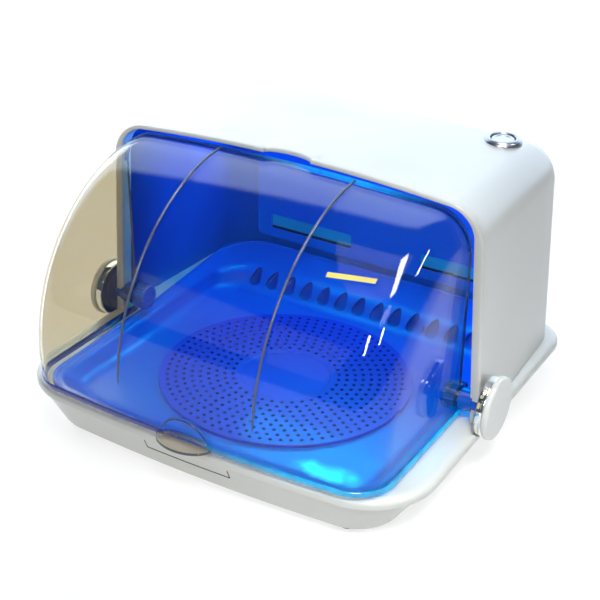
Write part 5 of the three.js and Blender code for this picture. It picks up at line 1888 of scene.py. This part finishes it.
def make_world():
    world = bpy.data.worlds.new("world")
    bpy.context.scene.world = world
    world.use_nodes = True
    tree = world.node_tree
    tree.nodes.clear()
    out = tree.nodes.new("ShaderNodeOutputWorld")
    path = tree.nodes.new("ShaderNodeLightPath")
    camera_ray = Shade(tree, path.outputs["Is Camera Ray"])
    passed_ray = Shade(tree, path.outputs["Is Transmission Ray"])
    bounced = Shade(tree, path.outputs["Diffuse Depth"]) + Shade(tree, path.outputs["Glossy Depth"])
    direct = 1.0 - bounced.math("MINIMUM", bounced, 1.0)
    seen = camera_ray.math("MAXIMUM", camera_ray, passed_ray) * direct
    coordinates = tree.nodes.new("ShaderNodeTexCoord")
    direction = Shade(tree, coordinates.outputs["Generated"])
    height = direction.make("ShaderNodeSeparateXYZ", {}, {"Vector": direction}, 2)
    across = direction.make("ShaderNodeSeparateXYZ", {}, {"Vector": direction}, 0)
    back = direction.make("ShaderNodeSeparateXYZ", {}, {"Vector": direction}, 1)
    sky = height.ramp(-0.1, 0.9).mix(SKY_LOW, SKY_HIGH)
    wall = (back - across * WALL_SLANT).ramp(WALL_FROM, WALL_TO).mix(ROOM_DARK, ROOM_WALL)
    glossy = Shade(tree, path.outputs["Glossy Depth"])
    mirrored = glossy.math("MINIMUM", glossy, 1.0)
    lit = tree.nodes.new("ShaderNodeBackground")
    direction.feed(lit.inputs["Color"], mirrored.mix(sky, wall))
    lit.inputs["Strength"].default_value = WORLD_STRENGTH
    white = tree.nodes.new("ShaderNodeBackground")
    white.inputs["Color"].default_value = (1, 1, 1, 1)
    white.inputs["Strength"].default_value = 1.0
    mix = tree.nodes.new("ShaderNodeMixShader")
    tree.links.new(seen.socket, mix.inputs[0])
    tree.links.new(lit.outputs[0], mix.inputs[1])
    tree.links.new(white.outputs[0], mix.inputs[2])
    tree.links.new(mix.outputs[0], out.inputs[0])


make_world()
print("world strength for matt and glossy surfaces:", WORLD_STRENGTH)

# %% [markdown]
# ## Lamps
#
# The light is that of a plain studio, in three groups. Key, fill and rear fill are large and soft,
# light the matt plastic evenly from above, in front and behind, and are kept out of reflections.
# Four narrow lamps do the opposite: they light no matt surface and only draw the bright streaks on
# the visor. A spot brightens the shelf at the right, and a small blue lamp stands in for the light
# of the tube.
#
# One set of lamps could do both jobs, but then no streak could be moved without changing the
# shading.

# %% Lamps
SPOT_ANGLE, SPOT_SOFTNESS, SPOT_SIZE = 19, 1.0, 0.15


def area(name, location, target, width, height, power, colour=(1, 1, 1)):
    data = bpy.data.lights.new(name, "AREA")
    data.shape = "RECTANGLE"
    data.size, data.size_y = width, height
    data.energy = power
    data.color = colour
    lamp = bpy.data.objects.new(name, data)
    lamp.location = location
    lamp.rotation_euler = (Vector(target) - Vector(location)).to_track_quat("-Z", "Y").to_euler()
    bpy.context.scene.collection.objects.link(lamp)
    return lamp


key = area("key", (0.05, -0.35, 1.85), (0, 0, 0.12), 1.1, 1.0, 10.5)
key.visible_glossy = False
fill = area("fill", (-1.0, -1.9, 0.9), (0, 0, 0.1), 1.2, 0.9, 5.5)
fill.visible_glossy = False
rear_fill = area("rear_fill", (-1.6, 1.4, 0.5), (0, 0, 0.12), 1.2, 0.9, 18.0)
rear_fill.visible_glossy = False
tube = area("ceiling_tube", (0.375, -0.355, 2.1), (0.14, -0.08, 0.2), 0.34, 1.1, 52.0)
tube.rotation_euler = (0.0, 0.0, math.atan2(0.67, 0.87))
second = area("second_tube", (1.63, 0.5, 2.1), (0.15, -0.06, 0.2), 0.14, 0.75, 26.0)
second.rotation_euler = (0.0, 0.0, math.atan2(0.41, 0.63))
window = area("window", (0.21, -2.0, 1.55), (0.14, -0.12, 0.15), 0.2, 0.5, 26.0)
window_two = area("window_two", (1.3, -1.5, 1.6), (0.146, -0.115, 0.15), 0.16, 0.45, 22.0)
for streak in (tube, second, window, window_two):
    streak.visible_diffuse = False
pool = bpy.data.lights.new("shelf_pool", "SPOT")
pool.energy = 60.0
pool.spot_size, pool.spot_blend, pool.shadow_soft_size = math.radians(SPOT_ANGLE), SPOT_SOFTNESS, SPOT_SIZE
pool.color = (0.93, 0.97, 1.0)
shelf_light = bpy.data.objects.new("shelf_pool", pool)
shelf_light.location = (0.5, -0.6, 0.9)
shelf_light.rotation_euler = (place(164, -84, 0) - shelf_light.location).to_track_quat("-Z", "Y").to_euler()
shelf_light.visible_glossy = False
bpy.context.scene.collection.objects.link(shelf_light)
area("inner_glow", place(0, 165, 168), place(0, 20, 0), 0.28, 0.05, 1.2, (0.0, 0.42, 1.0))
bpy.context.scene.view_settings.view_transform = "Standard"
print("lights:", len(bpy.data.lights))

# %% [markdown]
# ## Sizes of the finished model
#
# Last, the box round all shown pieces is measured and printed. It should be the solids' box to a
# fraction of a millimetre: a piece that reaches past its solid would bump into things that the
# solid clears.

# %% Sizes
low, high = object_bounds()
print("visual", [round(v, 4) for v in (*low, *high)])
